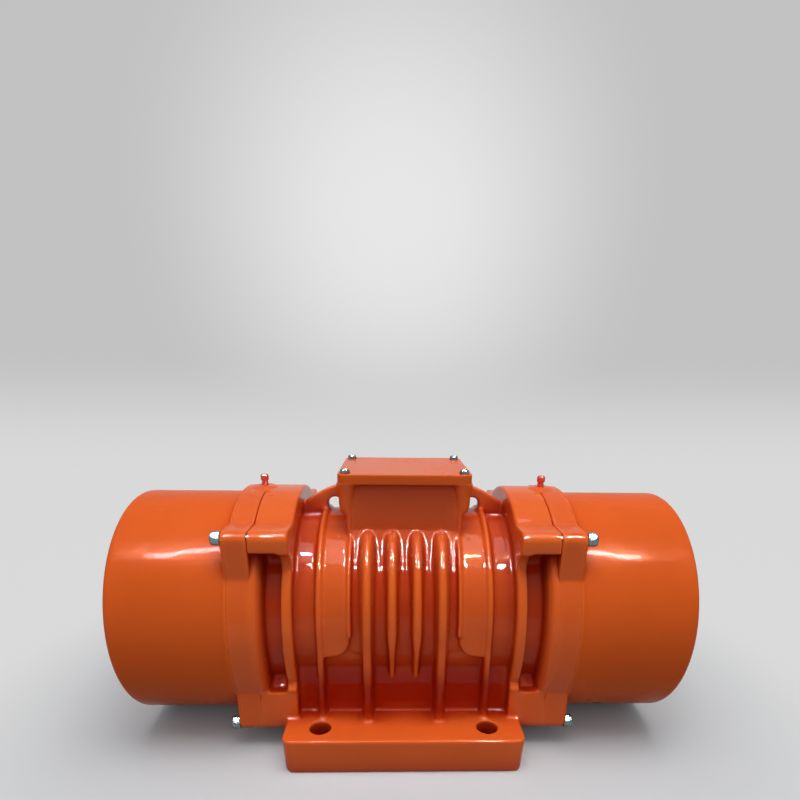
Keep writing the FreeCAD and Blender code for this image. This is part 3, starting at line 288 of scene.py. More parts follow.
def turns(count):
    """Equal turns round a full circle."""
    return [2 * math.pi * step / count for step in range(count)]


def join_rings(shape, pairs):
    """Faces between the two rings of points of each pair."""
    for low, high in pairs:
        count = len(low)
        for spot in range(count):
            after = (spot + 1) % count
            shape.faces.new((low[spot], low[after], high[after], high[spot]))


def lofted(sections):
    """A closed solid through rings of points."""
    shape = bmesh.new()
    rings = [[shape.verts.new(point) for point in section] for section in sections]
    join_rings(shape, zip(rings, rings[1:]))
    shape.faces.new(list(reversed(rings[0])))
    shape.faces.new(rings[-1])
    bmesh.ops.recalc_face_normals(shape, faces=shape.faces)
    return shape


def turned_mesh(name, profile, centre, axis, steps):
    """A closed solid of revolution. The profile is (distance along the axis, radius)."""
    spokes = Vector(axis).to_track_quat("Z", "Y")
    sections = []
    for along, radius in profile:
        sections.append([
            centre + spokes @ Vector((radius * math.cos(turn), radius * math.sin(turn), along))
            for turn in turns(steps)])
    return joined(name, [lofted(sections)])


def level_ring(x, y, z, radius, count):
    """Points of a level circle."""
    return [Vector((x + radius * math.cos(turn), y + radius * math.sin(turn), z))
            for turn in turns(count)]


def give_material(node, material):
    """Paints a CAD node that keeps its own shape."""
    slots = NODES[node].data.materials
    slots.clear()
    slots.append(material)


# --- Materials -----------------------------------------------------------------------------

def socket_name(key):
    """A socket's label from a keyword, such as "Coat Roughness" from coat_roughness."""
    label = key.replace("_", " ").title()
    return label.replace("Ior", "IOR")


class Nodes:
    """Builds one material's node tree."""

    def __init__(self, name):
        self.material = bpy.data.materials.new(name)
        self.material.use_nodes = True
        self.tree = self.material.node_tree
        self.shader = self.tree.nodes["Principled BSDF"]
        self.place = self.add("ShaderNodeTexCoord").outputs["Object"]

    def add(self, kind, **values):
        """A node with its settings and the values of its inputs."""
        node = self.tree.nodes.new(kind)
        for key, value in values.items():
            if hasattr(node, key):
                setattr(node, key, value)
            else:
                node.inputs[socket_name(key)].default_value = value
        return node

    def link(self, source, target):
        self.tree.links.new(source, target)

    def set(self, **values):
        """Sets what is the same all over the surface on the shader itself."""
        for key, value in values.items():
            self.shader.inputs[socket_name(key)].default_value = value

    def axes(self):
        """The object's X, Y and Z at each point."""
        parts = self.add("ShaderNodeSeparateXYZ")
        self.link(self.place, parts.inputs[0])
        return parts.outputs

    def noise(self, scale, detail=2.0, stretch=(1.0, 1.0, 1.0)):
        """Noise over the object, stretched by a factor along each axis."""
        place = self.add("ShaderNodeMapping")
        place.inputs["Scale"].default_value = stretch
        self.link(self.place, place.inputs["Vector"])
        noise = self.add("ShaderNodeTexNoise", scale=scale, detail=detail)
        self.link(place.outputs["Vector"], noise.inputs["Vector"])
        return noise.outputs["Fac"]

    def wave(self, scale, **values):
        """Even stripes over the object."""
        wave = self.add("ShaderNodeTexWave", scale=scale, **values)
        self.link(self.place, wave.inputs["Vector"])
        return wave.outputs["Fac"]

    def distance(self, target):
        """How far each point of the object is from a place."""
        span = self.add("ShaderNodeVectorMath", operation="DISTANCE")
        span.inputs[1].default_value = target
        self.link(self.place, span.inputs[0])
        return span.outputs["Value"]

    def ramp(self, value, stops):
        """Colours along a value. A stop is (place, colour)."""
        ramp = self.add("ShaderNodeValToRGB")
        ramp.color_ramp.interpolation = "EASE"
        while len(ramp.color_ramp.elements) < len(stops):
            ramp.color_ramp.elements.new(0.5)
        for element, (place, colour) in zip(ramp.color_ramp.elements, stops):
            element.position = place
            element.color = (*colour, 1.0)
        self.link(value, ramp.inputs["Fac"])
        return ramp.outputs["Color"]

    def level(self, value, low, high, start=0.3, end=0.7):
        """The value's start to end turned smoothly into low to high."""
        span = self.add("ShaderNodeMapRange", interpolation_type="SMOOTHSTEP")
        for key, number in (("From Min", start), ("From Max", end), ("To Min", low),
                            ("To Max", high)):
            span.inputs[key].default_value = number
        self.link(value, span.inputs["Value"])
        return span.outputs["Result"]

    def feed(self, socket, value):
        """Links a socket to another one, or sets it to a number or a colour."""
        if isinstance(value, bpy.types.NodeSocket):
            self.link(value, socket)
        elif isinstance(value, (int, float)):
            socket.default_value = value
        else:
            socket.default_value = (*value, 1.0)

    def mix(self, factor, first, second):
        """The first colour where the factor is 0, the second where it is 1."""
        mix = self.add("ShaderNodeMix", data_type="RGBA")
        colours = [socket for socket in mix.inputs if socket.type == "RGBA"]
        for socket, value in zip((mix.inputs["Factor"], *colours), (factor, first, second)):
            self.feed(socket, value)
        return [socket for socket in mix.outputs if socket.type == "RGBA"][0]

    def maths(self, operation, first, second):
        """One sum of two sockets or numbers."""
        maths = self.add("ShaderNodeMath", operation=operation)
        for socket, value in zip(maths.inputs, (first, second)):
            self.feed(socket, value)
        return maths.outputs[0]

    def bump(self, height, depth, under=None):
        """A bump of a real depth in metres, over the one under it."""
        bump = self.add("ShaderNodeBump")
        bump.inputs["Strength"].default_value = 1.0
        bump.inputs["Distance"].default_value = depth
        self.link(height, bump.inputs["Height"])
        if under:
            self.link(under, bump.inputs["Normal"])
        return bump.outputs["Normal"]

    def finish(self, colour=None, roughness=None, normal=None):
        """The material, once what varies over the surface is linked to its shader."""
        for source, key in ((colour, "Base Color"), (roughness, "Roughness"), (normal, "Normal")):
            if source is not None:
                self.link(source, self.shader.inputs[key])
        return self.material


def shaded(colour, factor):
    """A colour made darker or lighter."""
    return tuple(min(1.0, channel * factor) for channel in colour)


def painted_shade_band(nodes, band_shade):
    """Painted shade low on the barrel: a band over the foot, in the shade under the barrel's bulge, that fades
    out upward and towards the ends. band_shade is how deep the shade colour gets."""
    foot_edge = (0.034, 0.046)
    fade_up = (0.064, 0.104)
    fade_out = (0.092, 0.099)
    axes = nodes.axes()
    upright = nodes.maths("MULTIPLY", nodes.level(axes["Z"], 0.0, 1.0, *foot_edge),
                          nodes.level(axes["Z"], 1.0, 0.0, *fade_up))
    across = nodes.maths("ABSOLUTE", axes["X"], 0.0)
    return nodes.maths("MULTIPLY", upright, nodes.level(across, band_shade, 0.0, *fade_out))


def enamel(name, relief=1.0, gloss=0.42, band_shade=0.0):
    """Thick glossy orange enamel with runs and ripples, painted shade in hollows, sheltered corners and low on the
    barrel, and painted light on the crests. Relief scales the height of runs and ripples, and gloss is the weight
    of the clear coat."""
    look = bpy.context.scene.motor_enamel
    nodes = Nodes(name)
    nodes.set(coat_weight=gloss, coat_roughness=0.03, coat_ior=1.4, ior=1.35, metallic=0.0)
    nodes.set(specular_ior_level=0.07, specular_tint=(1.0, 0.35, 0.20, 1.0))
    cloud = nodes.noise(11.0, 3.0)
    colour = nodes.ramp(cloud, [(0.25, shaded(look.colour, 0.93)), (0.55, tuple(look.colour)),
                                (0.85, shaded(look.colour, 1.05))])
    # Painted shade: the colour darkens towards the shade colour in hollows, in sheltered corners and in a band low
    # on the barrel, where shade falls.
    hollow = nodes.add("ShaderNodeAttribute", attribute_name="hollow").outputs["Fac"]
    shelter = nodes.add("ShaderNodeAmbientOcclusion", samples=6)
    shelter.inputs["Distance"].default_value = look.shade_reach
    for shade_mask in (nodes.level(hollow, low=0.0, high=0.75, start=0.52, end=0.85),
                 nodes.level(shelter.outputs["AO"], low=1.0, high=0.0, start=0.25, end=0.97),
                 painted_shade_band(nodes, band_shade)):
        colour = nodes.mix(shade_mask, colour, tuple(look.painted_shade))
    # Painted light: crests and edges are made lighter, where light falls most.
    crest = nodes.level(hollow, low=0.7, high=0.0, start=0.08, end=0.42)
    colour = nodes.mix(crest, colour, tuple(look.thin))
    runs = nodes.noise(90.0, 2.0, (1.0, 1.0, 0.10))
    waves = nodes.noise(28.0, 1.0)
    peel = nodes.noise(1.0 / look.peel_size, 1.0)
    normal = nodes.bump(waves, look.run_depth * 2.0 * relief)
    normal = nodes.bump(runs, look.run_depth * relief, normal)
    normal = nodes.bump(peel, look.peel_depth, normal)
    return nodes.finish(colour, nodes.level(cloud, 0.20, 0.32), normal)


def metal(name, colour, rough=0.3, grain=300.0, stretch=(1.0, 1.0, 1.0), depth=0.00004, tint=0.12):
    """Bare or plated metal with a fine grain, stretched along the way it was worked."""
    nodes = Nodes(name)
    nodes.set(metallic=1.0)
    cloud = nodes.noise(45.0, 3.0)
    lines = nodes.noise(grain, 2.0, stretch)
    shade = nodes.ramp(cloud, [(0.3, shaded(colour, 1.0 - tint)),
                               (0.7, shaded(colour, 1.0 + tint))])
    return nodes.finish(shade, nodes.level(lines, rough * 0.75, rough * 1.3),
                        nodes.bump(lines, depth))


def iron(name, colour, rough=0.6):
    """Phosphated or machined cast iron: dark, matt and a little mottled."""
    nodes = Nodes(name)
    nodes.set(metallic=0.75)
    mottle = nodes.noise(120.0, 5.0)
    pits = nodes.noise(900.0, 2.0)
    shade = nodes.ramp(mottle, [(0.3, shaded(colour, 0.75)), (0.7, shaded(colour, 1.25))])
    normal = nodes.bump(pits, 0.00008, nodes.bump(mottle, 0.0002))
    return nodes.finish(shade, nodes.level(mottle, rough * 0.85, rough * 1.1), normal)


def dielectric(name, colour, rough, grain=400.0, depth=0.00006):
    """Rubber or moulded resin with a faint grain."""
    nodes = Nodes(name)
    cloud = nodes.noise(60.0, 3.0)
    fine = nodes.noise(grain, 2.0)
    shade = nodes.ramp(cloud, [(0.3, shaded(colour, 0.85)), (0.7, shaded(colour, 1.2))])
    return nodes.finish(shade, nodes.level(fine, rough * 0.85, rough * 1.1),
                        nodes.bump(fine, depth))


def laminations(name, colour):
    """Stacked electrical sheets: fine lines across the shaft's direction."""
    nodes = Nodes(name)
    nodes.set(metallic=0.9)
    sheet = nodes.wave(320.0, wave_type="BANDS", bands_direction="X")
    shade = nodes.ramp(sheet, [(0.0, shaded(colour, 0.55)), (0.35, colour),
                               (1.0, shaded(colour, 1.2))])
    return nodes.finish(shade, nodes.level(sheet, 0.5, 0.35), nodes.bump(sheet, 0.00015))


def windings(name, colour):
    """Varnished copper wire, wound round the machine's axis."""
    nodes = Nodes(name)
    nodes.set(metallic=0.6, coat_weight=0.5, coat_roughness=0.15)
    strand = nodes.wave(150.0, wave_type="RINGS", rings_direction="X", distortion=2.0)
    shade = nodes.ramp(strand, [(0.0, shaded(colour, 0.35)), (0.5, colour),
                                (1.0, shaded(colour, 1.4))])
    return nodes.finish(shade, nodes.level(strand, 0.45, 0.3), nodes.bump(strand, 0.0004))


# --- Castings and covers -------------------------------------------------------------------

# The casting's own measures. Lengths are in metres and turns in degrees. Radii and turns are about
# the shaft, levels are from it, and a turn of 0 points to the front or the rear.
FOOT_TOP = 0.034
FOOT_DRAW = 0.0035
HOLE_COAT = 0.0013
BARREL_HALF = 0.050
BARREL_RADIUS = 0.0918
BEAD_RADIUS = 0.0925
BEAD_THICKNESS = 0.0030
PANEL_LEVEL = -0.020
PANEL_CORNER = 0.016
PANEL_CUTS = 8
RIB_PITCH = 0.0225
RIB_RADII = (0.090, 0.1015)
RIB_CREST_SHARE = 0.45
RIB_TOP_HALF = 0.0098
RIB_TOP_TURN = 58.0
RIB_TIP_HALF = 0.0085
RIB_TIP_LEVELS = (-0.056, 0.004)
# Each row of ribs: pitches from the middle, low turn, half the root's width at its low end.
RIB_ROWS = ((0.5, -26.0, 0.0035), (1.5, -12.0, 0.0075))
COLLAR_RADII = (0.088, 0.1132)
COLLAR_TURNS = (-31.0, 47.0)
# Along the collar: depth from the casing's end, which of the two radii, how far off that.
COLLAR_PROFILE = ((-0.0060, 0, 0.0), (-0.0060, 1, 0.0), (0.0016, 1, 0.0), (0.0050, 1, -0.0050),
                  (0.0060, 1, -0.0110), (0.0066, 0, 0.0))
RAMP_TURNS = (38.0, 61.3)
RAMP_RISE = 0.0084
RAMP_DEPTH = 0.006
BOX_WALL = 0.051
BOX_WALL_FOOT = 0.19
BOX_WALL_SET = 0.003
BOX_RIM = 0.0055
BOX_RIM_LIFT = 0.0030
BOX_TOP_LIFT = 0.0012
COLUMN_PLACE = (0.0520, 0.0455)
COLUMN_DROP = 0.003
# Up a column: drop from its top, lean, radius.
COLUMN_SECTIONS = ((0.030, 0.0000, 0.0030), (0.022, 0.0020, 0.0062), (0.012, 0.0015, 0.0070),
                   (0.000, 0.0000, 0.0088))
# Up a nipple's boss: level from the dome, radius.
BOSS_SECTIONS = ((-0.006, 0.0165), (-0.001, 0.0150), (0.0012, 0.0105), (0.0018, 0.0075))


def casing_face():
    """How far along the shaft the casing's ends lie."""
    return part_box("casing")[1].x


def cover_face(side):
    """How far along the shaft the cover sits against its flange."""
    return min(abs(corner.x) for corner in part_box(f"weight_cover_{side}"))


def foot_hole():
    """Where a hole of the foot lies and its radius, as x, y and radius."""
    mounts = {mount["name"]: mount for mount in frame["record"]["mounts"]}
    sizes = mounts["foot_bolts"]["dims"]
    return sizes["spacing_x_mm"] / 2000, sizes["spacing_y_mm"] / 2000, sizes["hole_r_mm"] / 1000


def chained(*steps):
    """One point function from several."""
    def stretch(point):
        for step in steps:
            point = step(point)
        return point
    return stretch


def faces_moved(plane, shift):
    """Moves the upright faces at a distance along the shaft, outward where shift is positive."""
    def stretch(point):
        if abs(abs(point.x) - plane) > TOUCH:
            return point
        return Vector((point.x + math.copysign(shift, point.x), point.y, point.z))
    return stretch


def foot_widened(amount):
    """Draws the foot's ends out, more at its top than underneath."""
    under = 0.45
    low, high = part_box("casing")
    free = (high.x - low.x) * 0.38

    def stretch(point):
        if point.z > FOOT_TOP + EDGE or abs(point.x) < free:
            return point
        share = under + (1.0 - under) * point.z / FOOT_TOP
        return Vector((point.x + math.copysign(amount * share, point.x), point.y, point.z))

    return stretch


def rib_pinched(middle, half_width, low, high):
    """Draws the lower end of a short rib out to a blade."""
    blade = 0.22
    tip = low - 0.02

    def stretch(point):
        off = abs(point.x) - middle
        if abs(off) > half_width or point.z > high or point.z < tip:
            return point
        share = max(blade, min(1.0, (point.z - low) / (high - low)))
        return Vector((math.copysign(middle + off * share, point.x), point.y, point.z))

    return stretch


def holes_drawn_in(x, y, radius, amount):
    """Thick enamel narrows the four holes of the foot."""
    rim = 2e-4
    above = FOOT_TOP + 0.006

    def stretch(point):
        away = Vector((abs(point.x) - x, abs(point.y) - y))
        if abs(away.length - radius) > rim or point.z > above:
            return point
        away *= -amount / away.length
        return Vector((point.x + math.copysign(away.x, point.x * away.x),
                       point.y + math.copysign(away.y, point.y * away.y), point.z))

    return stretch


def rib_ends_lowered(half, wall, reach, drop):
    """Bends the middle ribs down where they run into the wall of the terminal box."""
    inner, outer = 0.097, 0.108

    def stretch(point):
        along = (wall + reach - abs(point.y)) / reach
        if abs(point.x) > half or not 0.0 < along or point.z < SHAFT_HEIGHT:
            return point
        if not inner <= math.hypot(point.y, point.z - SHAFT_HEIGHT) <= outer:
            return point
        return Vector((point.x, point.y, point.z - drop * min(along, 1.0) ** 2))

    return stretch


def panel_corner_rounded(inner, level, radius):
    """Rounds the lower corner of the raised panels on the side of the middle ribs."""
    edge = 2e-4
    slack = 0.004

    def stretch(point):
        along = max(0.0, abs(point.x) - inner)
        if abs(point.x) < inner - slack or along > radius or abs(point.z - level) > edge:
            return point
        lift = radius - math.sqrt(radius ** 2 - (radius - along) ** 2)
        return Vector((point.x, point.y, point.z + lift))

    return stretch


def wall_drawn_in(half, level, amount):
    """Sets the long walls of the terminal box back between its columns."""
    def stretch(point):
        if abs(abs(point.y) - half) > TOUCH or point.z < level:
            return point
        return Vector((point.x, point.y - math.copysign(amount, point.y), point.z))
    return stretch


def face_lifted(level, lift):
    """Moves the level faces at a height up."""
    def stretch(point):
        if abs(point.z - level) > TOUCH:
            return point
        return Vector((point.x, point.y, point.z + lift))
    return stretch


def reach_into_seat(side, overlap):
    """Moves a lifting web's edges into the box, the end block and the barrel that carry it."""
    low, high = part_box(f"lifting_web_{side}")
    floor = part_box("terminal_box")[0].z

    def stretch(point):
        moved = Vector(point)
        if point.x < low.x + EDGE:
            moved.x -= overlap
        if point.x > high.x - EDGE:
            moved.x += overlap
        if point.z < floor:
            moved.z -= overlap
        return moved

    return stretch


def lowered_below(level, overlap):
    """Moves a piece's lowest face down."""
    def stretch(point):
        sunk = point.z < level + EDGE
        return Vector((point.x, point.y, point.z - overlap if sunk else point.z))
    return stretch


def on_barrel(x, radius, turn, face):
    """A point at a radius from the shaft, turned up from the front (face -1) or the rear (1)."""
    return Vector((x, face * radius * math.cos(turn), SHAFT_HEIGHT + radius * math.sin(turn)))


def swept_turns(low_turn, high_turn, steps):
    """Shares from 0 to 1, each with its turn between a low and a high one in degrees."""
    low_turn, high_turn = math.radians(low_turn), math.radians(high_turn)
    for step in range(steps + 1):
        share = step / steps
        yield share, low_turn + (high_turn - low_turn) * share


def wall_ramp(face, half, inner, rise):
    """Enamel and casting fillet that fill the grooves between the ribs under the box wall."""
    root = inner - RAMP_DEPTH
    curve = list(swept_turns(*RAMP_TURNS, 12))
    sections = []
    for end in (-half, half):
        section = [on_barrel(end, inner + rise * share ** 2, turn, face) for share, turn in curve]
        section += [on_barrel(end, root, turn, face) for turn in (curve[-1][1], curve[0][1])]
        sections.append(section)
    return lofted(sections)


def barrel_bead(x, radius, thickness):
    """A bead round the barrel that fills the corner against a flange."""
    shape = bmesh.new()
    rings = []
    for turn in turns(96):
        rings.append([shape.verts.new(on_barrel(
            x + thickness * math.cos(tilt), radius + thickness * math.sin(tilt), turn, 1))
            for tilt in turns(10)])
    join_rings(shape, zip(rings, rings[1:] + rings[:1]))
    bmesh.ops.recalc_face_normals(shape, faces=shape.faces)
    return shape


def seat_collar(way, face, seat):
    """The rounded shoulder in an end pocket, where the barrel widens to carry the flange."""
    profile = [(depth, COLLAR_RADII[rim] + off) for depth, rim, off in COLLAR_PROFILE]
    sections = []
    for _, turn in swept_turns(*COLLAR_TURNS, 20):
        sections.append([on_barrel(way * (seat - depth), radius, turn, face)
                         for depth, radius in profile])
    return lofted(sections)


def rib_fillet(middle, face, low_turn, low_half):
    """Sloping flanks along a rib. The low half is half the width of the root at its low end."""
    inner, outer = RIB_RADII
    sections = []
    for share, turn in swept_turns(low_turn, RIB_TOP_TURN, 16):
        root = low_half + (RIB_TOP_HALF - low_half) * share
        sections.append([
            on_barrel(middle - root, inner, turn, face),
            on_barrel(middle + root, inner, turn, face),
            on_barrel(middle + root * RIB_CREST_SHARE, outer, turn, face),
            on_barrel(middle - root * RIB_CREST_SHARE, outer, turn, face),
        ])
    return lofted(sections)


def wall_column(x, y, top):
    """The column that carries a lid screw. It leans outward and ends above the wall's foot."""
    return lofted([level_ring(x + math.copysign(lean, x), y, top - drop, radius, 24)
                   for drop, lean, radius in COLUMN_SECTIONS])


def rounded_piece(name, shapes, material, rounding, most, fineness=1.0):
    """A painted piece from bmeshes, under one rounded skin."""
    cell = bpy.context.scene.motor_casting.cell * fineness
    skin = rounded_skin(name, joined(name, shapes), rounding, cell, most)
    return new_piece(name, skin, material)


class MOTOR_OT_casing(bpy.types.Operator):
    """Casing with terminal box and lifting webs under one rounded skin"""
    bl_idname = "motor.casing"
    bl_label = "Casing"

    def execute(self, context):
        casting = context.scene.motor_casting
        box_low, box_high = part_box("terminal_box")
        wall_set = wall_drawn_in(BOX_WALL, BOX_WALL_FOOT, BOX_WALL_SET)
        shaping = chained(
            faces_moved(casing_face(), casting.joint_fill), foot_widened(FOOT_DRAW),
            rib_pinched(RIB_PITCH / 2, RIB_TIP_HALF, *[SHAFT_HEIGHT + up for up in RIB_TIP_LEVELS]),
            panel_corner_rounded(BARREL_HALF, SHAFT_HEIGHT + PANEL_LEVEL, PANEL_CORNER),
            holes_drawn_in(*foot_hole(), HOLE_COAT),
            rib_ends_lowered(half=0.045, wall=0.048, reach=0.028, drop=0.0055), wall_set)
        box_shaping = chained(
            wall_set, face_lifted(box_high.z - BOX_RIM, BOX_RIM_LIFT),
            face_lifted(box_high.z, BOX_TOP_LIFT), lowered_below(box_low.z, casting.seat_overlap))
        cuts = [way * (BARREL_HALF + PANEL_CORNER / PANEL_CUTS * step)
                for way in (-1, 1) for step in range(PANEL_CUTS + 1)]
        shapes = [merged_copy("casing", shaping, cuts), merged_copy("terminal_box", box_shaping)]
        shapes += [merged_copy(f"lifting_web_{side}", reach_into_seat(side, casting.seat_overlap))
                   for side in SIDES]
        shapes += [barrel_bead(way * casing_face(), BEAD_RADIUS, BEAD_THICKNESS)
                   for way in (-1, 1)]
        for face in (-1, 1):
            shapes += [seat_collar(way, face, casing_face()) for way in (-1, 1)]
            shapes.append(wall_ramp(face, BARREL_HALF, BARREL_RADIUS, RAMP_RISE))
            for pitches, low_turn, low_half in RIB_ROWS:
                shapes += [rib_fillet(way * pitches * RIB_PITCH, face, low_turn, low_half)
                           for way in (-1, 1)]
            shapes += [wall_column(way * COLUMN_PLACE[0], face * COLUMN_PLACE[1],
                                   box_high.z - COLUMN_DROP) for way in (-1, 1)]
        piece = rounded_piece("cast_housing", shapes, enamel("casing_enamel", band_shade=1.0),
                              casting.rounding, casting.triangles)
        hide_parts("casing", "terminal_box", *[f"lifting_web_{side}" for side in SIDES])
        return {"FINISHED"}


def nipple_place(side):
    """The foot of a nipple: on the dome, at the joint side of its bore."""
    towards_joint = 0.0035
    low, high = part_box(f"grease_nipple_{side}")
    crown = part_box(f"bearing_flange_{side}")[1].z
    return Vector(((low.x + high.x) / 2 - SIDES[side] * towards_joint, 0.0, crown))


def nipple_boss(side):
    """The low cast boss under a nipple."""
    foot = nipple_place(side)
    return lofted([level_ring(foot.x, 0.0, foot.z + level, radius, 32)
                   for level, radius in BOSS_SECTIONS])


def paint_runs(side):
    """Beads of enamel that ran down the dome from the nipple, as small balls in rows."""
    rng = random.Random(3 + SIDES[side])
    rows = 2
    beads = 9
    least, growth = 0.0011, 0.0012
    sunk = 0.0006
    foot = nipple_place(side)
    radius = foot.z - SHAFT_HEIGHT - sunk
    shape = bmesh.new()
    for face in (-1, 1):
        for _ in range(rows):
            start = foot.x + rng.uniform(-0.005, 0.005)
            reach = rng.uniform(0.10, 0.24)
            drift = rng.uniform(-0.03, 0.03)
            for step in range(beads):
                along = step / (beads - 1)
                turn = face * along * reach
                swell = least + growth * along ** 3
                spot = Vector((start + drift * turn, radius * math.sin(turn),
                               SHAFT_HEIGHT + radius * math.cos(turn)))
                bmesh.ops.create_icosphere(shape, subdivisions=2, radius=swell,
                                           matrix=Matrix.Translation(spot))
    return shape


class MOTOR_OT_end_flanges(bpy.types.Operator):
    """The square bearing flanges with their domes"""
    bl_idname = "motor.end_flanges"
    bl_label = "End flanges"

    def execute(self, context):
        casting = context.scene.motor_casting
        for side in SIDES:
            name = f"end_flange_{side}"
            fills = chained(faces_moved(casing_face(), -casting.joint_fill),
                            faces_moved(cover_face(side), casting.joint_fill))
            shapes = [merged_copy(f"bearing_flange_{side}", fills), nipple_boss(side),
                      paint_runs(side)]
            piece = rounded_piece(name, shapes, enamel(f"{name}_enamel"), casting.plate_rounding,
                                  casting.triangles // 2)
            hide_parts(f"bearing_flange_{side}")
        return {"FINISHED"}


class MOTOR_OT_weight_covers(bpy.types.Operator):
    """The drawn drums over the weights"""
    bl_idname = "motor.weight_covers"
    bl_label = "Weight covers"

    def execute(self, context):
        casting = context.scene.motor_casting
        for side in SIDES:
            name = f"weight_drum_{side}"
            fills = faces_moved(cover_face(side), -casting.joint_fill / 2)
            paint = enamel(f"{name}_enamel", relief=0.6, gloss=0.03)
            piece = rounded_piece(name, [merged_copy(f"weight_cover_{side}", fills)], paint,
                                  casting.plate_rounding, casting.triangles // 2)
            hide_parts(f"weight_cover_{side}")
        return {"FINISHED"}


class MOTOR_OT_lid(bpy.types.Operator):
    """Lid of the terminal box"""
    bl_idname = "motor.lid"
    bl_label = "Lid"

    def execute(self, context):
        casting = context.scene.motor_casting
        joint = lowered_below(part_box("lid_gasket")[0].z, casting.joint_fill / 2)
        shapes = [merged_copy("terminal_box_lid"), merged_copy("lid_gasket", joint)]
        piece = rounded_piece("box_lid", shapes, enamel("lid_enamel", relief=0.35, gloss=0.08),
                              casting.rounding, casting.triangles // 3, fineness=0.6)
        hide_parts("terminal_box_lid", "lid_gasket")
        return {"FINISHED"}


# --- Screws by geometry nodes --------------------------------------------------------------

class Tree:
    """Builds one geometry node tree."""

    def __init__(self, name):
        self.group = bpy.data.node_groups.new(name, "GeometryNodeTree")
        self.points = self.group.interface.new_socket("Points", in_out="INPUT",
                                                      socket_type="NodeSocketGeometry")
        self.group.interface.new_socket("Geometry", in_out="OUTPUT",
                                        socket_type="NodeSocketGeometry")
        self.entry = self.group.nodes.new("NodeGroupInput")
        self.exit = self.group.nodes.new("NodeGroupOutput")
        self.identifiers = {}

    def value(self, name, kind):
        """A named input of the tree. Kind is Float, Int, Vector or Material."""
        socket = self.group.interface.new_socket(name, in_out="INPUT",
                                                 socket_type=f"NodeSocket{kind}")
        self.identifiers[name] = socket.identifier
        return self.entry.outputs[name]

    def node(self, kind, links=(), **values):
        """A node with its settings and with what feeds its inputs."""
        node = self.group.nodes.new(kind)
        for key, value in values.items():
            setattr(node, key, value)
        for target, source in dict(links).items():
            socket = node.inputs[target]
            if isinstance(source, bpy.types.NodeSocket):
                self.group.links.new(source, socket)
            else:
                socket.default_value = source
        return node

    def shifted(self, geometry, level):
        """The geometry moved along Z."""
        move = self.node("ShaderNodeCombineXYZ", {"Z": level})
        return self.node("GeometryNodeTransform", {
            "Geometry": geometry, "Translation": move.outputs[0]}).outputs[0]

    def maths(self, operation, first, second=0.0):
        """One sum of two sockets or numbers."""
        return self.node("ShaderNodeMath", {0: first, 1: second}, operation=operation).outputs[0]

    def close(self, geometry):
        """Ends the tree with a geometry."""
        self.group.links.new(geometry, self.exit.inputs[0])


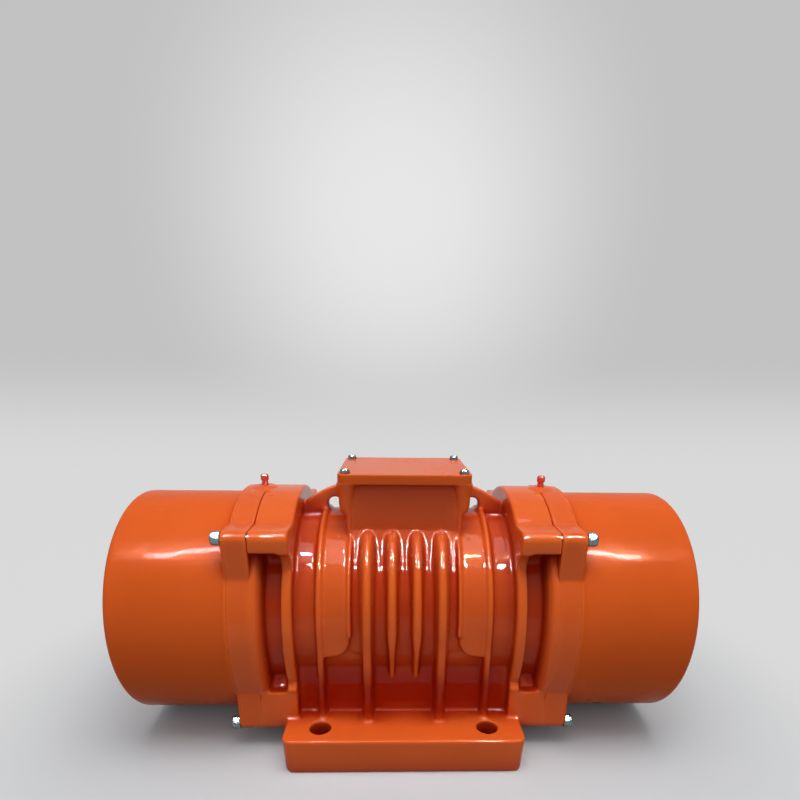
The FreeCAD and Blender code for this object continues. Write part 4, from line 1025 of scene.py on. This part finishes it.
def cap_screw_tree():
    """Socket head screws on points: knurled head, rounded edge, hexagon socket and shank.
    The head stands on the point, along the axis. Levels are shares of the head's height, from
    its middle, and other measures are shares of its radius."""
    points_per_knurl = 4.0
    knurl_depth = 0.018
    knurl_band = 0.95
    edge_level = 0.32
    edge_draw = 0.55
    key_radius = 0.56
    key_level = 0.55
    tree = Tree("Cap screws")
    head = tree.value("Head radius", "Float")
    height = tree.value("Head height", "Float")
    shank = tree.value("Shank radius", "Float")
    length = tree.value("Shank length", "Float")
    knurls = tree.value("Knurls", "Int")
    axis = tree.value("Axis", "Vector")
    seed = tree.value("Seed", "Int")
    material = tree.value("Material", "Material")
    rim = tree.maths("MULTIPLY", knurls, points_per_knurl)
    blank = tree.node("GeometryNodeMeshCylinder", {
        "Vertices": rim, "Side Segments": 6, "Fill Segments": 3, "Radius": head, "Depth": height})
    place = tree.node("GeometryNodeInputPosition").outputs[0]
    parts = tree.node("ShaderNodeSeparateXYZ", {0: place})
    angle = tree.maths("ARCTAN2", parts.outputs["Y"], parts.outputs["X"])
    across = tree.maths("SQRT", tree.maths("ADD", tree.maths("POWER", parts.outputs["X"], 2.0),
                                           tree.maths("POWER", parts.outputs["Y"], 2.0)))
    ridge = tree.maths("COSINE", tree.maths("MULTIPLY", angle, knurls))
    depth = tree.maths("MULTIPLY", tree.maths("SUBTRACT", ridge, 1.0), knurl_depth)
    outer = tree.maths("GREATER_THAN", across, tree.maths("MULTIPLY", head, knurl_band))
    level = tree.maths("DIVIDE", parts.outputs["Z"], height)
    top = tree.maths("MAXIMUM", tree.maths("SUBTRACT", level, edge_level), 0.0)
    draw_in = tree.maths("MULTIPLY", top, -edge_draw)
    flat = tree.maths("LESS_THAN", level, edge_level + 0.01)
    shrink = tree.maths("MULTIPLY", outer, tree.maths(
        "ADD", tree.maths("MULTIPLY", depth, flat), draw_in))
    factor = tree.maths("ADD", shrink, 1.0)
    moved = tree.node("ShaderNodeCombineXYZ", {
        "X": tree.maths("MULTIPLY", parts.outputs["X"], factor),
        "Y": tree.maths("MULTIPLY", parts.outputs["Y"], factor), "Z": parts.outputs["Z"]})
    shaped = tree.node("GeometryNodeSetPosition", {
        "Geometry": blank.outputs["Mesh"], "Position": moved.outputs[0]})
    key = tree.node("GeometryNodeMeshCylinder", {
        "Vertices": 6, "Radius": tree.maths("MULTIPLY", head, key_radius), "Depth": height})
    raised = tree.shifted(key.outputs["Mesh"], tree.maths("MULTIPLY", height, key_level))
    cut = tree.node("GeometryNodeMeshBoolean", {
        "Mesh 1": shaped.outputs[0], "Mesh 2": raised}, operation="DIFFERENCE")
    seated = tree.shifted(cut.outputs["Mesh"], tree.maths("MULTIPLY", height, 0.5))
    rod = tree.node("GeometryNodeMeshCylinder", {"Vertices": 24, "Radius": shank, "Depth": length})
    lowered = tree.shifted(rod.outputs["Mesh"], tree.maths("MULTIPLY", length, -0.5))
    screw = tree.node("GeometryNodeJoinGeometry")
    tree.group.links.new(seated, screw.inputs[0])
    tree.group.links.new(lowered, screw.inputs[0])
    spin = tree.node("FunctionNodeRandomValue", {"Seed": seed}, data_type="FLOAT")
    spin.inputs[2].default_value = 0.0
    spin.inputs[3].default_value = 2 * math.pi
    turned = tree.node("ShaderNodeCombineXYZ", {"Z": spin.outputs[1]})
    aimed = tree.node("FunctionNodeAlignRotationToVector", {"Vector": axis}, axis="Z")
    both = tree.node("FunctionNodeRotateRotation", {
        "Rotation": aimed.outputs[0], "Rotate By": turned.outputs[0]}, rotation_space="LOCAL")
    copies = tree.node("GeometryNodeInstanceOnPoints", {
        "Points": tree.entry.outputs["Points"], "Instance": screw.outputs[0],
        "Rotation": both.outputs[0]})
    real = tree.node("GeometryNodeRealizeInstances", {"Geometry": copies.outputs[0]})
    coated = tree.node("GeometryNodeSetMaterial", {
        "Geometry": real.outputs[0], "Material": material})
    tree.close(coated.outputs[0])
    return tree


def screw_set(tree, name, spots, head, height, whole, knurls, axis, seed, material):
    """Runs the screw tree on the spots and keeps the result as a plain mesh. Whole is the length
    of a screw with its head."""
    shank_share = 0.58
    seeds = bpy.data.meshes.new(name)
    seeds.from_pydata(spots, [], [])
    source = bpy.data.objects.new(name, seeds)
    bpy.context.scene.collection.objects.link(source)
    modifier = source.modifiers.new("Screws", "NODES")
    modifier.node_group = tree.group
    values = {"Head radius": head, "Head height": height, "Shank radius": head * shank_share,
              "Shank length": whole - height, "Knurls": knurls, "Axis": axis, "Seed": seed,
              "Material": material}
    for key, value in values.items():
        modifier[tree.identifiers[key]] = value
    mesh = evaluated_mesh(source)
    mesh.name = name
    return new_piece(mesh.name, mesh, material)


class MOTOR_OT_cap_screws(bpy.types.Operator):
    """Socket head screws of the flange corners and the lid"""
    bl_idname = "motor.cap_screws"
    bl_label = "Cap screws"

    def execute(self, context):
        look = context.scene.motor_screws
        zinc = metal("bright_zinc", tuple(look.colour), rough=0.26, grain=500.0, tint=0.10)
        tree = cap_screw_tree()
        for side, way in SIDES.items():
            low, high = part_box(f"corner_screws_{side}")
            seat = (high.x if way > 0 else low.x) - way * look.corner_height
            out = (high.y - low.y) / 2 - look.corner_head
            spots = [(seat, face * out, SHAFT_HEIGHT + level * out)
                     for face in (-1, 1) for level in (-1, 1)]
            piece = screw_set(tree, f"corner_screw_set_{side}", spots, look.corner_head,
                              look.corner_height, high.x - low.x, look.knurls,
                              (float(way), 0.0, 0.0), 5 + way, zinc)
            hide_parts(f"corner_screws_{side}")
        low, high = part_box("lid_screws")
        out_x = (high.x - low.x) / 2 - look.lid_head
        out_y = (high.y - low.y) / 2 - look.lid_head
        spots = [(u * out_x, v * out_y, high.z - look.lid_height) for u in (-1, 1) for v in (-1, 1)]
        piece = screw_set(tree, "lid_screw_set", spots, look.lid_head, look.lid_height,
                          high.z - low.z, look.knurls * 3 // 4, (0.0, 0.0, 1.0), 11, zinc)
        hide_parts("lid_screws")
        return {"FINISHED"}


# --- Nipples and cable gland ---------------------------------------------------------------

# Outlines as shares of a piece's length and of its radius.
NIPPLE_OUTLINE = ((0.34, 0.84), (0.42, 0.76), (0.48, 0.80), (0.54, 0.99), (0.60, 1.04),
                  (0.86, 1.02), (0.94, 0.90), (0.985, 0.66), (1.0, 0.30))
GLAND_OUTLINE = ((0.0, 0.93), (0.04, 0.99), (0.50, 1.0), (0.56, 0.95), (0.80, 0.84), (0.94, 0.68),
                 (1.0, 0.62))


class MOTOR_OT_nipples(bpy.types.Operator):
    """Lubrication nipples on the domes, sprayed over with the rest"""
    bl_idname = "motor.nipples"
    bl_label = "Nipples"

    def execute(self, context):
        for side in SIDES:
            low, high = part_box(f"grease_nipple_{side}")
            foot = nipple_place(side)
            tall = high.z - foot.z
            wide = (high.x - low.x) / 2
            profile = [(-0.004, wide * 0.86)]
            profile += [(tall * along, wide * out) for along, out in NIPPLE_OUTLINE]
            name = f"lubrication_nipple_{side}"
            mesh = turned_mesh(name, profile, foot, UP, 40)
            piece = new_piece(name, mesh, nipple_enamel(name))
            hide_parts(f"grease_nipple_{side}")
        return {"FINISHED"}


def nipple_enamel(name):
    """Red enamel with worn patches where the plating shows bare."""
    nodes = Nodes(f"{name}_enamel")
    nodes.set(coat_weight=0.5, coat_roughness=0.08)
    patches = nodes.noise(260.0, 2.0)
    bare = nodes.level(patches, 0.0, 1.0, 0.60, 0.66)
    red = (0.74, 0.05, 0.02)
    plated = (0.62, 0.62, 0.60)
    colour = nodes.mix(bare, red, plated)
    nodes.link(bare, nodes.shader.inputs["Metallic"])
    return nodes.finish(colour, nodes.level(patches, 0.22, 0.34), nodes.bump(patches, 0.0002))


class MOTOR_OT_cable_gland(bpy.types.Operator):
    """Cable gland on the rear wall: hexagon body, fluted dome nut and rubber grommet"""
    bl_idname = "motor.cable_gland"
    bl_label = "Cable gland"

    def execute(self, context):
        plating = metal("nickel_plating", (0.66, 0.63, 0.56), rough=0.2, grain=260.0, tint=0.06)
        rubber = dielectric("gland_rubber", (0.022, 0.022, 0.023), 0.55)
        low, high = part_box("cable_gland_nut")
        centre = Vector((0.0, low.y, (low.z + high.z) / 2))
        long = high.y - low.y
        wide = (high.x - low.x) / 2
        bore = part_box("cable_gland_seal")
        bore_share = 0.72
        inner = (bore[1].x - bore[0].x) / 2 * bore_share
        profile = [(long * along, wide * out) for along, out in GLAND_OUTLINE]
        profile += [(long, inner), (long * 0.5, inner), (long * 0.46, wide * 0.3)]
        mesh = turned_mesh("gland_dome_nut", profile, centre, Vector((0, 1, 0)), 96)
        flute(mesh, centre, count=24, depth=wide * 0.025, limit=centre.y + long * 0.52)
        nut = new_piece("gland_dome_nut", mesh, plating)
        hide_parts("cable_gland_nut")
        give_material("cable_gland_body", plating)
        give_material("cable_gland_seal", rubber)
        return {"FINISHED"}


def flute(mesh, centre, count, depth, limit):
    """Presses flutes into the wide part of a turned piece that lies along Y."""
    bore = depth * 20
    for point in mesh.vertices:
        off = Vector((point.co.x - centre.x, 0.0, point.co.z - centre.z))
        if point.co.y < limit and off.length > bore:
            turn = math.atan2(off.z, off.x)
            point.co -= off.normalized() * depth * (0.5 + 0.5 * math.cos(count * turn))


# --- Finishes of the parts that keep their CAD shape ---------------------------------------

class MOTOR_OT_inner_finishes(bpy.types.Operator):
    """Materials for the parts inside, which keep their own shape"""
    bl_idname = "motor.inner_finishes"
    bl_label = "Inner finishes"

    def execute(self, context):
        ground = metal("ground_steel", (0.52, 0.52, 0.53), 0.22, 500.0, (0.2, 1.0, 1.0))
        race = metal("bearing_steel", (0.60, 0.61, 0.63), 0.12, 700.0, tint=0.05)
        zinc = metal("inner_zinc", (0.50, 0.58, 0.63), 0.3, 500.0)
        brass = metal("machined_brass", (0.72, 0.50, 0.20), 0.25, 500.0)
        blued = metal("blued_steel", (0.10, 0.11, 0.15), 0.3, 500.0)
        cast = metal("die_cast_aluminium", (0.68, 0.69, 0.70), 0.42, 180.0, depth=0.0001)
        weights = iron("phosphated_iron", (0.16, 0.16, 0.17))
        caps = iron("machined_iron", (0.30, 0.29, 0.28), 0.45)
        rubber = dielectric("nitrile_rubber", (0.022, 0.022, 0.024), 0.5)
        resin = dielectric("phenolic_resin", (0.09, 0.04, 0.025), 0.35)
        sheets = laminations("electrical_sheets", (0.28, 0.28, 0.30))
        copper = windings("varnished_copper", (0.55, 0.20, 0.07))
        finishes = {
            "shaft": ground, "stator_core": sheets, "rotor_core": sheets, "stator_winding": copper,
            "rotor_cage": cast, "terminal_block": resin, "terminal_studs": brass,
            "earth_screw": brass,
        }
        each_side = {
            "cover_seal": rubber, "flange_bolts": zinc, "bearing_outer_ring": race,
            "bearing_inner_ring": race, "bearing_rollers": race, "bearing_cage": brass,
            "bearing_cap": caps, "cap_screws": zinc, "shaft_seal": rubber, "spacer_ring": ground,
            "fixed_weight": weights, "adjustable_weight": weights, "weight_key": ground,
            "clamp_bolt": zinc, "scale_disc": cast, "thrust_washer": zinc, "circlip": blued,
        }
        finishes.update({f"{name}_{side}": look
                         for name, look in each_side.items() for side in SIDES})
        for name, look in finishes.items():
            give_material(name, look)
        return {"FINISHED"}


# --- Studio --------------------------------------------------------------------------------

BACKDROP = {"front": -3.0, "back": 1.4, "half_width": 5.0, "curve": 0.9, "height": 5.0}
WALL_GLOW = (0.0, 2.3, 1.05)
WALL_GLOW_GAIN = 1.48
WALL_GLOW_REACH = (0.1, 1.3)
WALL_RISE = (0.0, 0.45)
FLOOR_FADE = (0.26, 0.52)
FLOOR_GREY = (0.68, 0.68, 0.68)
BLACK = (0.0, 0.0, 0.0)

# Strip lamps: place along the shaft, turn up from the front in degrees, length, share of the small
# lamps' power, and colour.
STRIP_LAMPS = (
    (0.60, 66, 0.30, 1.0, (1.0, 0.95, 0.90)), (-0.60, 66, 0.30, 1.0, (1.0, 0.86, 0.90)),
    (0.30, 59, 0.10, 0.30, (0.95, 0.97, 1.0)), (0.26, 71, 0.08, 0.30, (1.0, 0.80, 0.35)),
    (-0.28, 76, 0.10, 0.30, (1.0, 0.68, 0.84)), (-0.36, 60, 0.12, 0.30, (1.0, 0.85, 0.9)),
)
STRIP_AWAY = 1.2
STRIP_WIDTH = 0.07

# The camera looks along Y from its place, drawn down, swung to one side and rolled, in radians.
CAMERA_PLACE = (-0.01077, -0.52572, 0.33912)
CAMERA_DOWN = 0.354
CAMERA_SWING = -0.0263
CAMERA_ROLL = 0.0114
CAMERA_SHIFT = (-0.0072, 0.2168)


def backdrop_mesh(front, back, half_width, curve, height):
    """Floor that curves up into a wall, as a strip of quads."""
    line = [(front, 0.0)]
    line += [(back + curve * math.sin(turn), curve * (1 - math.cos(turn)))
             for turn in [math.pi / 2 * step / 24 for step in range(25)]]
    line.append((back + curve, height))
    points = [(side * half_width, y, z) for y, z in line for side in (-1, 1)]
    faces = [(2 * n, 2 * n + 1, 2 * n + 3, 2 * n + 2) for n in range(len(line) - 1)]
    mesh = bpy.data.meshes.new("studio_floor")
    mesh.from_pydata(points, [], faces)
    for polygon in mesh.polygons:
        polygon.use_smooth = True
    return mesh


def studio_paper(look):
    """Pale floor that takes shadows and throws little colour back up, and a wall with a soft
    bright middle."""
    nodes = Nodes("studio_paper")
    nodes.set(roughness=0.9, specular_ior_level=0.1)
    path = nodes.add("ShaderNodeLightPath").outputs
    seen = nodes.maths("MAXIMUM", path["Is Camera Ray"], path["Is Transmission Ray"])
    seen = nodes.maths("MAXIMUM", seen, path["Is Glossy Ray"])
    upright = nodes.level(nodes.axes()["Z"], 0.0, 1.0, *WALL_RISE)
    distant = nodes.level(nodes.distance((0.0, 0.0, 0.0)), 0.0, 1.0, *FLOOR_FADE)
    glow = nodes.level(nodes.distance(WALL_GLOW), 1.0, 0.0, *WALL_GLOW_REACH)
    wall = nodes.mix(glow, tuple(look.wall), shaded(look.wall, WALL_GLOW_GAIN))
    glowing = nodes.mix(upright, FLOOR_GREY, wall)
    nodes.link(glowing, nodes.shader.inputs["Emission Color"])
    nodes.link(nodes.maths("MULTIPLY", seen, distant), nodes.shader.inputs["Emission Strength"])
    floor = nodes.mix(seen, shaded(look.floor, look.bounce), tuple(look.floor))
    return nodes.finish(nodes.mix(distant, floor, BLACK))


def light_room(scene, look):
    """Even light that grows from the horizon to the ceiling."""
    world = bpy.data.worlds.new("Room")
    scene.world = world
    world.use_nodes = True
    tree = world.node_tree
    room = tree.nodes["Background"]
    room.inputs["Color"].default_value = (0.97, 0.985, 1.0, 1.0)
    place = tree.nodes.new("ShaderNodeTexCoord")
    parts = tree.nodes.new("ShaderNodeSeparateXYZ")
    tree.links.new(place.outputs["Generated"], parts.inputs[0])
    level = tree.nodes.new("ShaderNodeMapRange")
    level.interpolation_type = "SMOOTHSTEP"
    for key, number in (("From Min", 0.1), ("From Max", 0.95), ("To Min", look.horizon),
                        ("To Max", look.zenith)):
        level.inputs[key].default_value = number
    tree.links.new(parts.outputs["Z"], level.inputs["Value"])
    tree.links.new(level.outputs["Result"], room.inputs["Strength"])


def add_lamp(name, place, target, size, power, colour=(1.0, 1.0, 1.0), tall=None):
    """An area lamp at a place, turned to a target."""
    lamp = bpy.data.lights.new(name, "AREA")
    lamp.shape = "RECTANGLE"
    lamp.size = size
    lamp.size_y = tall or size
    lamp.energy = power
    lamp.color = colour
    thing = bpy.data.objects.new(name, lamp)
    thing.location = place
    thing.rotation_euler = (Vector(target) - Vector(place)).to_track_quat("-Z", "Y").to_euler()
    bpy.context.scene.collection.objects.link(thing)
    return thing


class MOTOR_OT_studio(bpy.types.Operator):
    """Camera, lamps, room light and the pale floor"""
    bl_idname = "motor.studio"
    bl_label = "Studio"

    def execute(self, context):
        scene = context.scene
        look = scene.motor_studio
        floor = bpy.data.objects.new("studio_floor", backdrop_mesh(**BACKDROP))
        scene.collection.objects.link(floor)
        floor.data.materials.append(studio_paper(look))
        light_room(scene, look)

        heart = Vector((0.0, 0.0, SHAFT_HEIGHT))
        add_lamp("key", place=(0.1, -0.25, 1.9), target=heart, size=1.3, power=look.key_power,
                 tall=1.0)
        fill = add_lamp("fill", place=(0.0, -1.6, 0.5), target=heart, size=1.4,
                        power=look.fill_power)
        fill.visible_glossy = False
        for number, (x, turn, tall, share, colour) in enumerate(STRIP_LAMPS):
            away = Vector((0.0, -math.cos(math.radians(turn)), math.sin(math.radians(turn))))
            place = heart + away * STRIP_AWAY + Vector((x, 0.0, 0.0))
            lamp = add_lamp(f"strip_lamp_{number}", place, heart, STRIP_WIDTH,
                            look.spark_power * share, colour, tall)
            lamp.visible_diffuse = False

        camera = bpy.data.cameras.new("camera")
        camera.lens = look.lens
        camera.sensor_width = 36.0
        camera.shift_x, camera.shift_y = CAMERA_SHIFT
        camera.clip_start = 0.01
        viewer = bpy.data.objects.new("camera", camera)
        scene.collection.objects.link(viewer)
        turn = Matrix.Rotation(CAMERA_SWING, 3, "Z")
        turn = turn @ Matrix.Rotation(math.pi / 2 - CAMERA_DOWN, 3, "X")
        turn = turn @ Matrix.Rotation(CAMERA_ROLL, 3, "Z")
        viewer.matrix_world = Matrix.Translation(CAMERA_PLACE) @ turn.to_4x4()
        scene.camera = viewer
        scene.view_settings.view_transform = "Standard"
        return {"FINISHED"}


# --- Add-on --------------------------------------------------------------------------------

OPERATORS = (
    MOTOR_OT_casing, MOTOR_OT_end_flanges, MOTOR_OT_weight_covers, MOTOR_OT_lid,
    MOTOR_OT_cap_screws, MOTOR_OT_nipples, MOTOR_OT_cable_gland, MOTOR_OT_inner_finishes,
    MOTOR_OT_studio,
)


class MOTOR_PT_panel(bpy.types.Panel):
    """Sizes, colours and steps of the motor's looks"""
    bl_idname = "MOTOR_PT_panel"
    bl_label = "Vibration motor"
    bl_space_type = "VIEW_3D"
    bl_region_type = "UI"
    bl_category = "Motor"

    def draw(self, context):
        for attribute, group in SETTINGS.items():
            box = self.layout.box()
            for key in group.__annotations__:
                box.prop(getattr(context.scene, attribute), key)
        for operator in OPERATORS:
            self.layout.operator(operator.bl_idname)


def register():
    for group in SETTINGS.values():
        bpy.utils.register_class(group)
    for attribute, group in SETTINGS.items():
        setattr(bpy.types.Scene, attribute, bpy.props.PointerProperty(type=group))
    for operator in OPERATORS:
        bpy.utils.register_class(operator)
    bpy.utils.register_class(MOTOR_PT_panel)


def unregister():
    bpy.utils.unregister_class(MOTOR_PT_panel)
    for operator in reversed(OPERATORS):
        bpy.utils.unregister_class(operator)
    for attribute in SETTINGS:
        delattr(bpy.types.Scene, attribute)
    for group in SETTINGS.values():
        bpy.utils.unregister_class(group)


def main():
    register()
    for operator in OPERATORS:
        group, name = operator.bl_idname.split(".")
        getattr(getattr(bpy.ops, group), name)()


if __name__ == "__main__":
    main()
